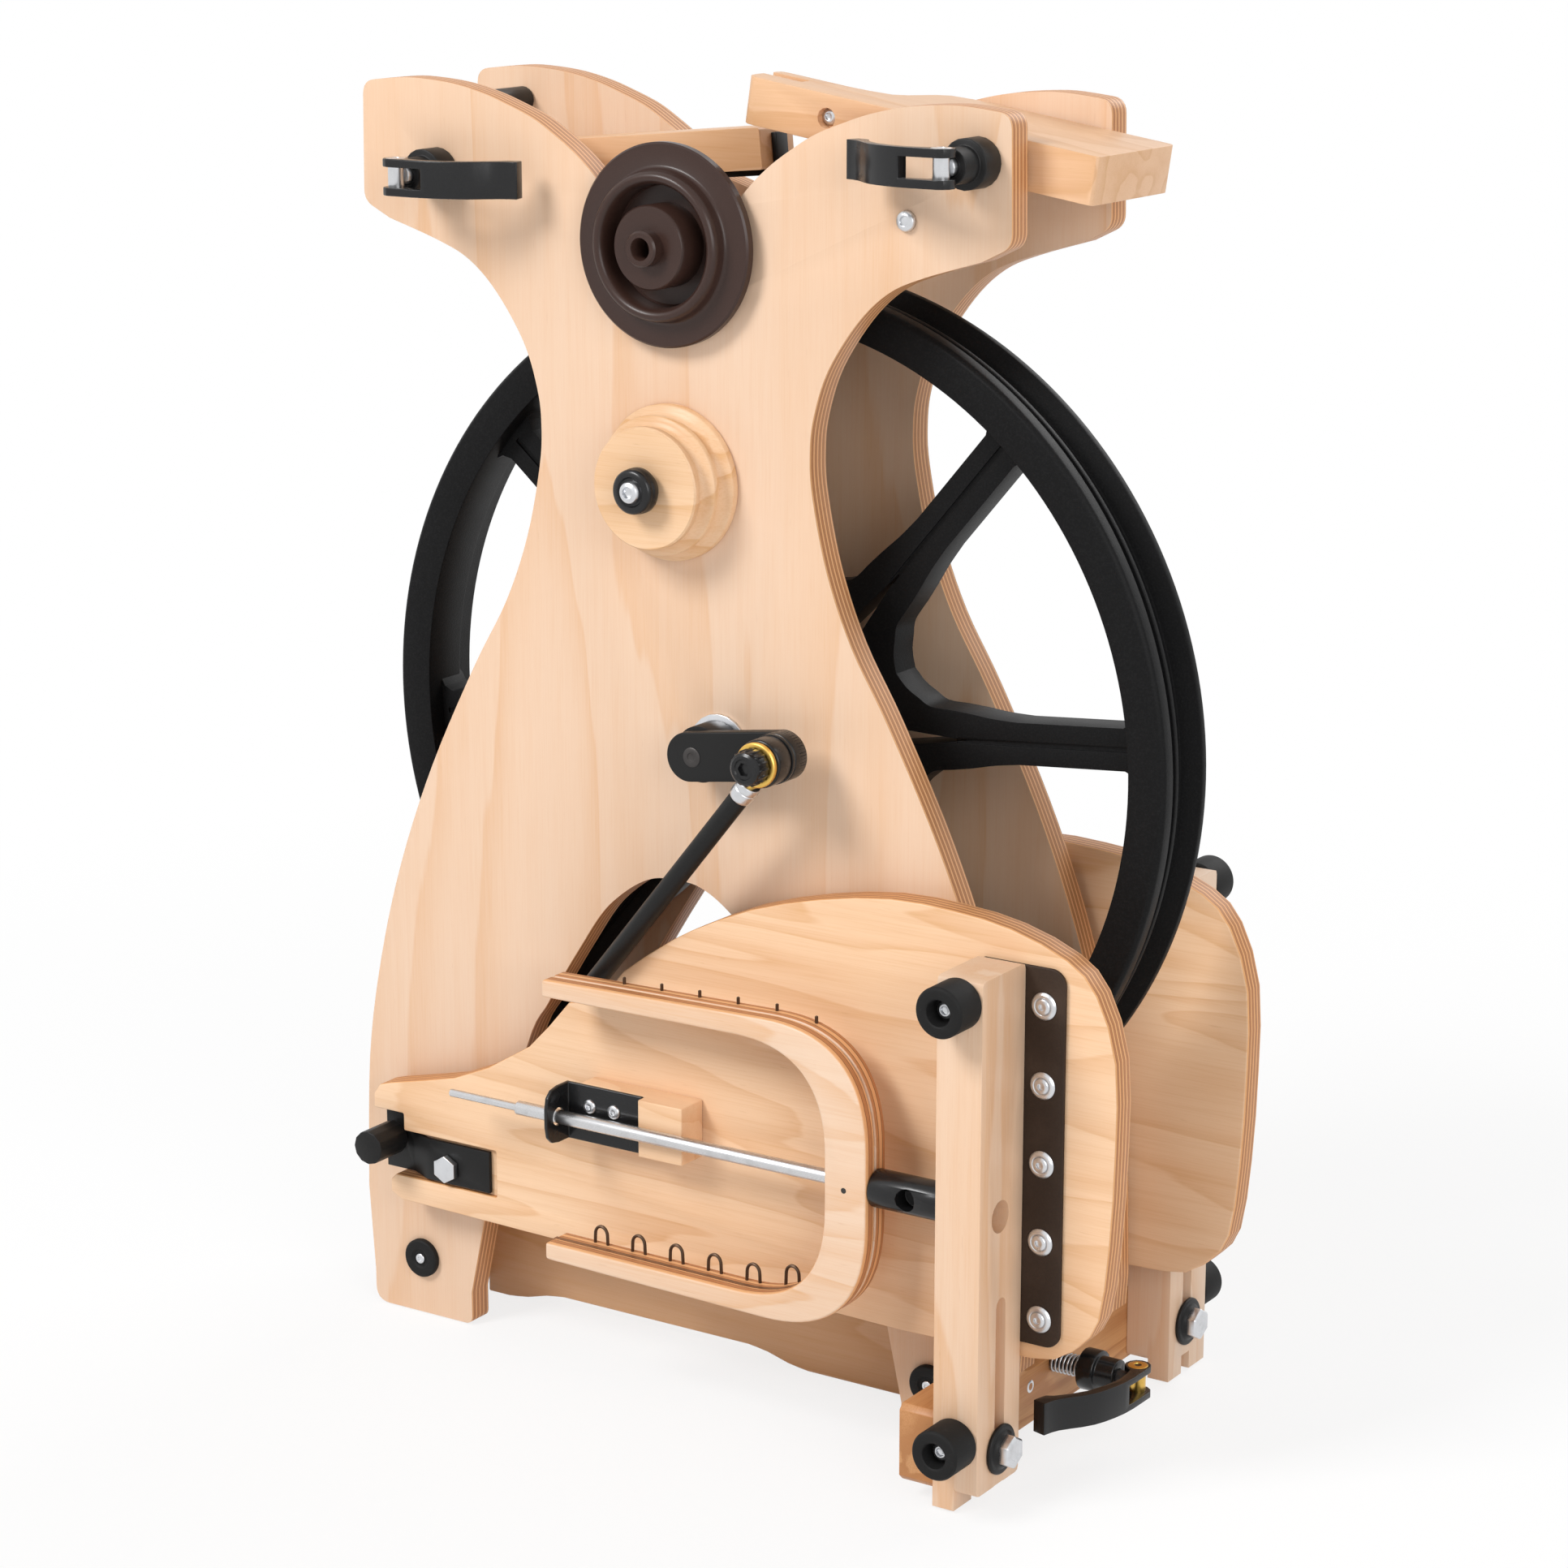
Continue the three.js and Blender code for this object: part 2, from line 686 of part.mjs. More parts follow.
function buildFrame(group) {
  const plate = panelSolid();
  place(group, 'front_panel', plate, finish.maple);
  place(group, 'rear_panel', mirrored(plate), finish.maple);

  const beamSolid = cut(
    prism('yz', crossbeamOutline(), beam.inner, beam.outer),
    disc([0, 0, clamp.z], axes.x, clamp.rodRadius + seatGap, beam.inner - overrun,
      beam.outer + overrun, sides.small),
    disc([0, 0, clamp.z], axes.x, clamp.headRadius + seatGap, beam.inner - overrun,
      beam.inner + clamp.headDepth + seatGap, sides.small),
  );
  place(group, 'right_crossbeam', beamSolid, finish.darkWood);
  const leftBeamX = footPad.leftX;
  const leftBeam = box(
    [leftBeamX - beam.thickness / 2, leftBeamX + beam.thickness / 2],
    [-gapHalf + seatGap, gapHalf - seatGap],
    [beam.bottom, beam.top],
  );
  place(group, 'left_crossbeam', leftBeam, finish.wood);
  buildRail(group, leftBeamX + beam.thickness / 2 + seatGap, beam.inner - seatGap);

  const carry = bar([carryTube.x, -gapHalf + seatGap, carryTube.z],
    [carryTube.x, gapHalf - seatGap, carryTube.z], carryTube.radius);
  place(group, 'carry_tube', carry, finish.blackPlastic);
  const headOut = outerFace + seatGap;
  const spacer = join(
    bar([lobeSpacer.x, -gapHalf + seatGap, lobeSpacer.z],
      [lobeSpacer.x, gapHalf - seatGap, lobeSpacer.z], lobeSpacer.radius, sides.small),
    bar([lobeSpacer.x, -headOut, lobeSpacer.z], [lobeSpacer.x, headOut, lobeSpacer.z],
      carryScrewRadius, sides.small),
    ...[-1, 1].map((side) => turned([[0, 0], [lobeSpacer.headRadius, 0],
      [lobeSpacer.headRadius * 0.85, lobeSpacer.headDepth * 0.7], [0, lobeSpacer.headDepth]],
    [lobeSpacer.x, side * headOut, lobeSpacer.z],
    new THREE.Vector3(0, side, 0), sides.small)),
  );
  place(group, 'lobe_spacer', spacer, finish.steel);

  for (const [name, side] of [['front', -1], ['rear', 1]]) {
    const out = new THREE.Vector3(0, side, 0);
    const flanged = cut(
      join(
        disc([0, 0, axleHeight], out, bearing.radius, gapHalf, outerFace),
        disc([0, 0, axleHeight], out, bearing.lip, outerFace + seatGap / 2,
          outerFace + bearing.lipDepth),
        disc([0, 0, axleHeight], out, bearing.radius, outerFace - seatGap,
          outerFace + bearing.lipDepth),
      ),
      disc([0, 0, axleHeight], out, axle.radius + runGap / 4, gapHalf - overrun,
        outerFace + bearing.lipDepth + overrun),
    );
    place(group, `${name}_bearing`, flanged, finish.steel);
    for (const [where, x] of [['left', footPad.leftX], ['right', footPad.rightX]]) {
      const pad = turned([[0, 0], [footPad.radius, 0], [footPad.radius, footPad.depth],
        [footPad.screw * 1.4, footPad.depth], [footPad.screw, footPad.depth + footPad.screwHeight],
        [0, footPad.depth + footPad.screwHeight]],
      [x, side * (outerFace + seatGap), footPad.z], out, sides.medium);
      place(group, `${name}_${where}_foot_pad`, pad, finish.rubber);
    }
  }
}

function buildRail(group, from, to) {
  const half = rail.thickness / 2;
  const ease = rail.rise / 3;
  const left = smooth([[rail.archLeft, 0], [rail.archLeft + ease, rail.arch / 4],
    [rail.archLeft + ease * 2, rail.arch * 3 / 4], [rail.archLeft + rail.rise, rail.arch]], 2);
  const right = smooth([[rail.archRight - rail.rise, rail.arch],
    [rail.archRight - ease * 2, rail.arch * 3 / 4], [rail.archRight - ease, rail.arch / 4],
    [rail.archRight, 0]], 2);
  const outline = [[from, 0], ...left, ...right, [to, 0], [to, rail.top], [from, rail.top]];
  place(group, 'base_rail', prism('xz', outline, -half, half), finish.darkWood);
}

// The drive wheel, its axle and the two cranks.

const rim = {
  halfWidth: 17.5,
  inner: 184,
  faceOuter: 199.5,
  bevel: 1.8,
  grooveDepth: 8,
  frontGroove: [-9, -3.5],
  rearGroove: [-0.5, 13.5],
  rearInner: 187,
  shelf: 6,
};
const hub = { radius: 26, halfWidth: 16, bore: axle.radius };

// The spokes are what is left between eight gaps. Each gap's side is given by distances from the
// axle and the half width that the spoke has there; its inner end is rounded.
const spokes = {
  count: 8,
  phase: 4.6 * degree,
  halfDepth: 8,
  filletRadius: 6,
  gapEnd: 73,
  gapRound: 75.2,
  gapRoundHalf: 7.4,
  gapShoulder: 79,
  gapShoulderHalf: 13.6,
  slotStart: 44,
  slotEnd: 102,
  slotHalf: 6,
  crease: 2.4,
  creaseDepth: 1.2,
  rootHalf: 14.2,
};

// Each pair gives a distance from the axle as a share of the slot's end, and the half width there
// as a share of the half width at the spoke's root.
const spokeSideShares = [[0.833, 1], [0.931, 0.923], [1.03, 0.831], [1.127, 0.718], [1.245, 0.648]];
const spokeSides = spokeSideShares.map(([out, wide]) => (
  { from: out * spokes.slotEnd, half: wide * spokes.rootHalf }
));

function rimSolid() {
  const outer = wheelRadius;
  const deep = outer - rim.grooveDepth;
  const ledge = outer - rim.bevel;
  const profile = [
    [rim.inner, -rim.halfWidth],
    [rim.faceOuter, -rim.halfWidth],
    [ledge, -rim.halfWidth + rim.bevel],
    [ledge, rim.frontGroove[0]],
    [deep, rim.frontGroove[0]],
    [deep, rim.frontGroove[1]],
    [ledge - rim.bevel, rim.frontGroove[1]],
    [ledge - rim.bevel, rim.rearGroove[0]],
    [deep - rim.bevel, rim.rearGroove[0] + rim.bevel],
    [deep - rim.bevel, rim.rearGroove[1] - rim.bevel],
    [outer, rim.rearGroove[1]],
    [outer, rim.halfWidth],
    [rim.rearInner, rim.halfWidth],
    [rim.rearInner, rim.shelf],
    [rim.inner, rim.shelf],
    [rim.inner, -rim.halfWidth],
  ];
  return turned(profile, [0, 0, axleHeight], axes.y, sides.wheel);
}

// One gap's outline, with u from the axle along the gap's middle and v across it.
function gapOutline() {
  const between = fullTurn / spokes.count / 2;
  const side = (from, half) => {
    const angle = between - Math.asin(half / from);
    return [from * Math.cos(angle), from * Math.sin(angle)];
  };
  const tip = spokeSides[spokeSides.length - 1];
  const reach = rim.inner + overrun;
  const fillet = [
    side(rim.inner - spokes.filletRadius, tip.half),
    side(rim.inner - spokes.filletRadius / 4, tip.half + spokes.filletRadius / 4),
    side(rim.inner, tip.half + spokes.filletRadius),
    side(reach, tip.half + spokes.filletRadius),
  ];
  const inner = smooth([
    [spokes.gapEnd, 0],
    [spokes.gapRound, spokes.gapRoundHalf],
    [spokes.gapShoulder, spokes.gapShoulderHalf],
    ...spokeSides.map(({ from, half }) => side(from, half)),
  ], 2);
  const half = [...inner, ...fillet];
  const mirror = half.slice(1).map(([u, v]) => [u, -v]).reverse();
  return [...mirror, ...half, [reach, 0]];
}

function turnedAboutAxle(outline, angle) {
  return outline.map(([u, v]) => [
    u * Math.cos(angle) - v * Math.sin(angle),
    axleHeight + u * Math.sin(angle) + v * Math.cos(angle),
  ]);
}

function spiderSolid() {
  const plate = disc([0, 0, axleHeight], axes.y, rim.inner + rim.bevel, -spokes.halfDepth,
    spokes.halfDepth, sides.wheel);
  const gap = gapOutline();
  const deep = spokes.halfDepth + overrun;
  const slot = [[spokes.slotStart, -spokes.slotHalf], [spokes.slotEnd, 0],
    [spokes.slotStart, spokes.slotHalf]];
  const crease = rectangle([spokes.slotEnd, rim.inner - overrun],
    [-spokes.crease / 2, spokes.crease / 2]);
  const low = spokes.halfDepth - spokes.creaseDepth;
  const tools = [];
  for (let i = 0; i < spokes.count; i += 1) {
    const angle = spokes.phase + (i / spokes.count) * fullTurn;
    const between = angle + fullTurn / spokes.count / 2;
    tools.push(prism('xz', turnedAboutAxle(gap, between), -deep, deep));
    tools.push(prism('xz', turnedAboutAxle(rounded(slot, spokes.crease, 2), angle), -deep, deep));
    tools.push(prism('xz', turnedAboutAxle(crease, angle), low, deep));
    tools.push(prism('xz', turnedAboutAxle(crease, angle), -deep, -low));
  }
  return cut(plate, ...tools);
}

function buildWheel(group) {
  const centre = [0, 0, axleHeight];
  const wheel = cut(
    join(
      rimSolid(),
      disc(centre, axes.y, hub.radius, -hub.halfWidth, hub.halfWidth, sides.large),
      spiderSolid(),
    ),
    disc(centre, axes.y, hub.bore + seatGap, -hub.halfWidth - overrun, hub.halfWidth + overrun),
  );
  place(group, 'drive_wheel', wheel, finish.blackPlastic);
  const axleEnd = crank.armInner - seatGap * 2;
  place(group, 'axle', disc(centre, axes.y, axle.radius, -axleEnd, axleEnd), finish.steel);
  for (const [name, side] of [['front', -1], ['rear', 1]]) {
    const crankAndCap = join(crankSolid(side), crankCapSolid(side));
    place(group, `${name}_crank`, crankAndCap, finish.blackPlastic);
  }
}

// The two cranks stand half a turn apart, so the rear pin is opposite the front one.
function pinPlace(side) {
  const turn = crank.tilt + (side > 0 ? Math.PI : 0);
  return [crankRadius * Math.cos(turn), axleHeight + crankRadius * Math.sin(turn)];
}

function crankSolid(side) {
  const [pinX, pinZ] = pinPlace(side);
  const out = new THREE.Vector3(0, side, 0);
  const arm = [];
  const turn = crank.tilt + (side > 0 ? Math.PI : 0);
  const steps = sides.small;
  for (let i = 0; i <= steps; i += 1) {
    const angle = turn - Math.PI / 2 + (i / steps) * Math.PI;
    arm.push([pinX + crank.halfWidth * Math.cos(angle), pinZ + crank.halfWidth * Math.sin(angle)]);
  }
  for (let i = 0; i <= steps; i += 1) {
    const angle = turn + Math.PI / 2 + (i / steps) * Math.PI;
    arm.push([
      crank.halfWidth * Math.cos(angle) - crank.tail * Math.cos(turn),
      axleHeight + crank.halfWidth * Math.sin(angle) - crank.tail * Math.sin(turn),
    ]);
  }
  const low = side > 0 ? crank.armInner : -crank.armOuter;
  const high = side > 0 ? crank.armOuter : -crank.armInner;
  const boss = crank.armOuter + crank.bossDepth;
  const pinEnd = outerFace + footman.eyeIn + footman.eyeDepth / 2 + footman.brassLip
    + crankCap.socketDepth;
  const hubDisc = cut(
    disc([0, 0, axleHeight], out, crank.hubRadius, outerFace + bearing.lipDepth + seatGap,
      crank.armInner + seatGap, sides.large),
    disc([0, 0, axleHeight], out, axle.radius + seatGap, outerFace, crank.armInner - seatGap),
  );
  return join(
    prism('xz', arm, low, high),
    hubDisc,
    disc([0, 0, axleHeight], out, hubScrew.radius, crank.armInner,
      crank.armOuter + hubScrew.height, sides.small),
    disc([pinX, 0, pinZ], out, crank.bossRadius, crank.armInner, boss),
    disc([pinX, 0, pinZ], out, crank.pinRadius, crank.armInner, pinEnd, sides.small),
  );
}

function crankCapSolid(side) {
  const [pinX, pinZ] = pinPlace(side);
  const start = outerFace + footman.eyeIn + footman.eyeDepth / 2 + footman.brassLip + seatGap * 2;
  const out = new THREE.Vector3(0, side, 0);
  const ribbed = Array.from({ length: crankCap.ribs * 2 }, (_, i) => {
    const angle = (i / (crankCap.ribs * 2)) * fullTurn;
    const reach = crankCap.radius * (i % 2 ? crankCap.ribShare : 1);
    return [pinX + reach * Math.cos(angle), pinZ + reach * Math.sin(angle)];
  });
  const ends = [side * start, side * (start + crankCap.depth)].sort((a, b) => a - b);
  return cut(
    prism('xz', ribbed, ends[0], ends[1]),
    disc([pinX, 0, pinZ], out, crankCap.socket, start + crankCap.depth - crankCap.socketDepth,
      start + crankCap.depth + overrun, 6),
  );
}

// The footman rods.

function footmanSolid(side) {
  const [pinX, pinZ] = pinPlace(side);
  const eyeY = side * (outerFace + footman.eyeIn);
  const centre = [pinX, eyeY, pinZ];
  const out = new THREE.Vector3(0, side, 0);
  const frontPinZ = pinPlace(-1)[1];
  const length = (frontPinZ - footman.tailZ) / Math.cos(footman.lean);
  const rodLean = footman.tailIn - footman.rodIn;
  const along = (distance) => [
    pinX - Math.sin(footman.lean) * distance,
    eyeY - side * (footman.rodIn + rodLean * (distance / length)),
    pinZ - Math.cos(footman.lean) * distance,
  ];
  const piece = (from, to, radius, count) => bar(along(from), along(to), radius, count);
  const half = footman.eyeDepth / 2;
  const end = new THREE.Vector3(...along(length));
  const direction = end.clone().sub(new THREE.Vector3(...along(0))).normalize();
  return cut(
    join(
      disc(centre, out, footman.eyeRadius, -half, half),
      disc(centre, out, footman.brassRadius, -half, half + footman.brassLip),
      bar(centre, along(footman.ferruleStart + footman.ferruleLength / 2),
        footman.rodRadius * footman.neckShare, sides.small),
      piece(footman.ferruleStart, footman.ferruleStart + footman.ferruleLength,
        footman.ferruleRadius, sides.medium),
      piece(footman.ferruleStart + footman.ferruleLength / 2, length, footman.rodRadius,
        sides.medium),
      turned([[0, -overrun], [footman.rodRadius, -overrun], [footman.rodRadius, 0],
        [footman.rodRadius * footman.tipShare, footman.tipLength], [0, footman.tipLength]],
      end.toArray(), direction, sides.medium),
    ),
    disc(centre, out, crank.pinRadius + runGap / 2, -half - overrun,
      half + footman.brassLip + overrun, sides.small),
  );
}

// The quick releases.

function buildRelease(group, name, { x, z }) {
  const front = -outerFace - seatGap;
  const pinY = -outerFace - release.pivotOut;
  const rod = join(
    bar([x, pinY + release.pinRadius + seatGap, z], [x, outerFace + seatGap, z],
      release.rodRadius, sides.small),
    disc([x, 0, z], axes.y, release.headRadius, outerFace + seatGap,
      outerFace + seatGap + release.headDepth, 6),
  );
  place(group, `${name}_release_rod`, rod, finish.steel);
  const base = cut(
    join(
      disc([x, front, z], axes.y, release.baseRadius, -release.baseDepth, 0),
      disc([x, front, z], axes.y, release.baseStep, -release.stepDepth, -release.baseDepth / 2),
    ),
    disc([x, front, z], axes.y, release.rodRadius + seatGap, -release.stepDepth - overrun,
      overrun, sides.small),
  );
  place(group, `${name}_release_base`, base, finish.blackPlastic);
}

// A cam lever lies in the plane of its length u and its standing-out v, with its width across.
// At its pivot it has two cheeks round a steel barrel nut.
function leverSolids(length, width) {
  const r = release.pinRadius + release.leverThick * 0.55;
  const thick = release.leverThick;
  const bow = release.leverBow;
  const outer = smooth([[0, r], [length * 0.3, r + bow], [length * 0.6, r + bow * 0.9],
    [length * 0.86, r * 0.6], [length, r * 0.5]], 3);
  const inner = smooth([[length, r * 0.5 - release.tipThick], [length * 0.88, r * 0.5 - release.tipThick],
    [length * 0.84, r * 0.6 - thick], [length * 0.6, r + bow * 0.9 - thick],
    [length * 0.3, r + bow - thick], [r * 1.1, r - thick]], 2);
  const head = [];
  const steps = 8;
  for (let i = 0; i <= steps; i += 1) {
    const angle = -Math.PI / 4 - (i / steps) * (Math.PI * 1.25);
    head.push([r * Math.cos(angle), r * Math.sin(angle)]);
  }
  return { outline: [...outer, ...inner, ...head], width, radius: r };
}

function leverBody(length, width) {
  const { outline, radius } = leverSolids(length, width);
  const body = prism('xz', outline.map(([u, v]) => [u, v]).reverse(), -width / 2, width / 2);
  const gap = release.cheekSlot / 2;
  const slot = box([-radius - overrun, release.cheekLength], [-gap, gap],
    [-radius - overrun, radius * 3 + overrun]);
  const barrel = bar([0, -width / 2 + seatGap, 0], [0, width / 2 - seatGap, 0],
    release.pinRadius, sides.small);
  return join(cut(body, slot), barrel);
}

// Moves a lever from its own frame, where it lies along +X, stands out to +Z and is wide in Y,
// to its place on the object.
function seated(solid, lengthAxis, outAxis, centre) {
  const u = new THREE.Vector3(...lengthAxis);
  const w = new THREE.Vector3(...outAxis);
  const v = w.clone().cross(u);
  const geometry = toGeometry(solid);
  geometry.applyMatrix4(new THREE.Matrix4().makeBasis(u, v, w).setPosition(...centre));
  return toSolid(geometry);
}

// A release's lever leans towards the panel, away from its own panel edge.
function releaseLever({ x, z, leverLength, toward }) {
  const across = Math.cos(release.lean);
  const back = Math.sin(release.lean);
  return seated(leverBody(leverLength, release.leverWidth), [toward * across, back, 0],
    [toward * back, -across, 0], [x, -outerFace - release.pivotOut, z]);
}

// The maidens.

function frontArmSolid() {
  const arm = frontArm;
  const right = rightRelease.x + arm.beyondPivot;
  const left = right - arm.length;
  const near = -arm.width / 2;
  const far = arm.width / 2;
  const tipFar = near + arm.tipWidth;
  const slotNear = near + arm.slotFromEdge - arm.slotWidth / 2;
  const slotFar = slotNear + arm.slotWidth;
  const taper = smooth([[right - arm.taperEnd - arm.corner, tipFar],
    [right - arm.taperEnd + arm.corner, tipFar + arm.corner / 2],
    [right - (arm.taperStart + arm.taperEnd) / 2, (tipFar + far) / 2],
    [right - arm.taperStart - arm.corner, far - arm.corner / 2],
    [right - arm.taperStart + arm.corner, far]], 2).reverse();
  const outline = [
    ...rounded([[left + arm.corner, tipFar], [left, tipFar], [left, slotFar],
      [left + arm.slotLength, slotFar], [left + arm.slotLength, slotNear], [left, slotNear],
      [left, near], [right, near], [right, far], [right - arm.tailCorner * 4, far]],
    [0, arm.corner / 2, 1, 1, 1, 1, arm.corner, arm.tailCorner, arm.tailCorner, 0], 3),
    ...taper,
  ];
  const half = arm.thickness / 2;
  const flat = prism('xy', outline, rightRelease.z - half, rightRelease.z + half);
  const screwX = left + arm.screwFromTip;
  const geometry = toGeometry(cut(
    flat,
    disc([rightRelease.x, 0, rightRelease.z], axes.y, release.rodRadius + arm.holeGap,
      -arm.width, arm.width, sides.small),
    disc([screwX, near, rightRelease.z], axes.y, arm.counterbore, -overrun,
      arm.counterboreDepth, sides.small),
  ));
  geometry.translate(-rightRelease.x, 0, -rightRelease.z);
  geometry.rotateY(-arm.tilt);
  geometry.translate(rightRelease.x, 0, rightRelease.z);
  return toSolid(geometry);
}

function rearArmSolid() {
  const arm = rearArm;
  const left = leftRelease.x - arm.beyondPivot;
  const half = arm.thickness / 2;
  const outline = rounded([
    [left, leftRelease.z - half], [left + arm.length, leftRelease.z - half],
    [left + arm.length, leftRelease.z + half], [left, leftRelease.z + half]],
  [arm.corner, 1, 2, arm.corner], 3)
    .map((point) => tilted(point, [leftRelease.x, leftRelease.z], arm.tilt));
  return cut(
    prism('xz', outline, -arm.width / 2, arm.width / 2),
    disc([leftRelease.x, 0, leftRelease.z], axes.y, release.rodRadius + frontArm.holeGap,
      -arm.width, arm.width, sides.small),
  );
}

function rearBracketSolid() {
  const arm = rearArm;
  const end = leftRelease.x - arm.beyondPivot + arm.length + seatGap;
  const half = arm.thickness / 2;
  const thick = rearBracket.thickness;
  const low = leftRelease.z - half - seatGap;
  const outline = [
    [end - rearBracket.underLength, low - thick], [end + thick, low - thick],
    [end + thick, low + arm.thickness * rearBracket.upShare],
    [end, low + arm.thickness * rearBracket.upShare], [end, low],
    [end - rearBracket.underLength, low]]
    .map((point) => tilted(point, [leftRelease.x, leftRelease.z], arm.tilt));
  return prism('xz', outline, -rearBracket.halfWidth, rearBracket.halfWidth);
}

// The stored whorls.

function buildBrownWhorl(pegGroup, whorlGroup) {
  const w = brownWhorl;
  const face = -outerFace - seatGap;
  const inward = new THREE.Vector3(0, -1, 0);
  const back = whorlPeg.length;
  const flangeEnd = w.flangeStart + w.flange;
  const slope = w.crest - w.crestWidth;
  const profile = [
    [w.bore, 0], [w.bodyRadius, 0], [w.bodyRadius, w.flangeStart],
    [w.radius - w.edge, w.flangeStart], [w.radius, w.flangeStart + w.edge],
    [w.radius, flangeEnd - w.edge], [w.radius - w.edge, flangeEnd],
    [w.bodyRadius, flangeEnd], [w.bodyRadius - w.bead, flangeEnd + w.bead],
    [w.crestRadius + w.crestWidth, slope], [w.crestRadius + w.crestWidth / 2, w.crest],
    [w.crestRadius - w.crestWidth / 2, w.crest], [w.recess, slope],
    [w.recess, w.floor], [w.hubRadius, w.floor],
    [w.hubRadius, w.hubFace - w.edge], [w.hubRadius - w.edge, w.hubFace],
    [w.bossRadius, w.hubFace], [w.bossRadius, w.bossFace - w.edge],
    [w.bossRadius - w.edge, w.bossFace], [w.bore, w.bossFace], [w.bore, 0],
  ];
  place(whorlGroup, 'flyer_whorl', turned(profile, [w.x, face, w.z], inward, sides.large),
    finish.brownPlastic);
  place(pegGroup, 'whorl_peg', disc([w.x, face, w.z], inward, whorlPeg.radius, 0, back,
    sides.small), finish.darkWood);
}

function buildWoodWhorl(studGroup, knobGroup) {
  const w = woodWhorl;
  const face = -outerFace - seatGap;
  const out = new THREE.Vector3(0, -1, 0);
  const bore = whorlStud.radius + seatGap;
  const profile = [
    [bore, 0], [w.radius, 0], [w.radius, w.baseDepth],
    [(w.radius + w.firstNeck) / 2, (w.baseDepth * 2 + w.firstNeckAt) / 3],
    [w.firstNeck, w.firstNeckAt], [w.stepRadius, w.stepStart], [w.stepRadius, w.stepEnd],
    [(w.stepRadius + w.secondNeck) / 2, (w.stepEnd * 2 + w.secondNeckAt) / 3],
    [w.secondNeck, w.secondNeckAt], [w.frontRadius, w.frontStart], [w.frontRadius, w.depth],
    [bore, w.depth], [bore, 0],
  ];
  place(studGroup, 'wooden_whorl', turned(profile, [w.x, face, w.z], out, sides.large),
    finish.wood);
  place(studGroup, 'whorl_stud', disc([w.x, face, w.z], out, whorlStud.radius, 0,
    w.depth + whorlKnob.neckDepth, sides.small), finish.steel);
  const knobStart = w.depth + seatGap;
  const reach = whorlKnob.radius;
  const knob = cut(
    join(
      disc([w.x, face, w.z], out, whorlKnob.neck, knobStart, knobStart + whorlKnob.neckDepth),
      disc([w.x, face, w.z], out, reach, knobStart + whorlKnob.neckDepth / 2,
        knobStart + whorlKnob.depth, sides.medium),
      disc([w.x, face, w.z], out, whorlKnob.screwRadius, knobStart + whorlKnob.depth / 2,
        knobStart + whorlKnob.depth + whorlKnob.screwHeight, sides.small),
    ),
    disc([w.x, face, w.z], out, whorlStud.radius + seatGap, knobStart - overrun,
      knobStart + whorlKnob.neckDepth, sides.small),
  );
  place(knobGroup, 'whorl_knob', knob, finish.blackPlastic);
}

// The clamp.

// The least gap between two turns of a wire, from points along its middle line.
function leastGap(points, wire, stepsApart) {
  const places = points.map((point) => new THREE.Vector3(...point));
  let least = Infinity;
  places.forEach((here, i) => {
    places.slice(i + stepsApart).forEach((there) => {
      least = Math.min(least, here.distanceTo(there) - wire * 2);
    });
  });
  return least;
}

function springSolid() {
  const radius = clamp.springRadius - clamp.springWire;
  const stepsEach = 8;
  const count = clamp.springTurns * stepsEach;
  const from = beam.outer + clamp.springWire + seatGap;
  const to = clamp.springEnd - clamp.springWire;
  const points = [];
  for (let i = 0; i <= count; i += 1) {
    const angle = (i / stepsEach) * fullTurn;
    const share = i / count;
    points.push([from + (to - from) * share, radius * Math.cos(angle),
      clamp.z + radius * Math.sin(angle)]);
  }
  const gap = leastGap(points, clamp.springWire, stepsEach / 2);
  console.log(`clamp_spring: least gap to itself ${gap.toFixed(2)} mm`);
  return tube(points, clamp.springWire, count, sides.wire);
}

function buildClamp(group, leverGroup) {
  const centre = [0, 0, clamp.z];
  const rodEnd = clamp.pivotX - release.pinRadius - seatGap;
  const rod = join(
    disc(centre, axes.x, clamp.rodRadius, beam.inner + seatGap, rodEnd, sides.small),
    disc(centre, axes.x, clamp.headRadius, beam.inner + seatGap,
      beam.inner + clamp.headDepth, 6),
  );
  place(group, 'clamp_rod', rod, finish.steel);
  place(group, 'clamp_spring', springSolid(), finish.steel);
  const barrel = cut(
    join(
      disc(centre, axes.x, clamp.barrelRadius, clamp.barrelStart, clamp.barrelMid),
      disc(centre, axes.x, clamp.barrelStep, clamp.barrelMid - seatGap, clamp.barrelEnd),
    ),
    disc(centre, axes.x, clamp.rodRadius + seatGap, clamp.barrelStart - overrun,
      clamp.barrelEnd + overrun, sides.small),
  );
  place(group, 'clamp_barrel', barrel, finish.blackPlastic);
  const across = Math.cos(clamp.leverLean);
  const back = Math.sin(clamp.leverLean);
  const lever = seated(leverBody(clamp.leverLength, clamp.leverWidth), [-back, -across, 0],
    [across, -back, 0], [clamp.pivotX, 0, clamp.z]);
  place(leverGroup, 'clamp_lever', lever, finish.blackPlastic);
}

// The treadles.

// Everything here is the front treadle, on the -Y side; the rear one is its mirror image.
const barBack = -outerFace - treadleBar.fromPanel;
const barFront = barBack - treadleBar.width;
const barLeft = beam.outer + seatGap;
const barRight = barLeft + treadleBar.thickness;
const barMiddle = (barLeft + barRight) / 2;
const boltY = barFront + treadleBar.boltFromFace;
const boardFront = -outerFace - board.toFace;
const boardBack = boardFront + board.thickness;
const flyerY = -outerFace - flyer.axisFromPanel;

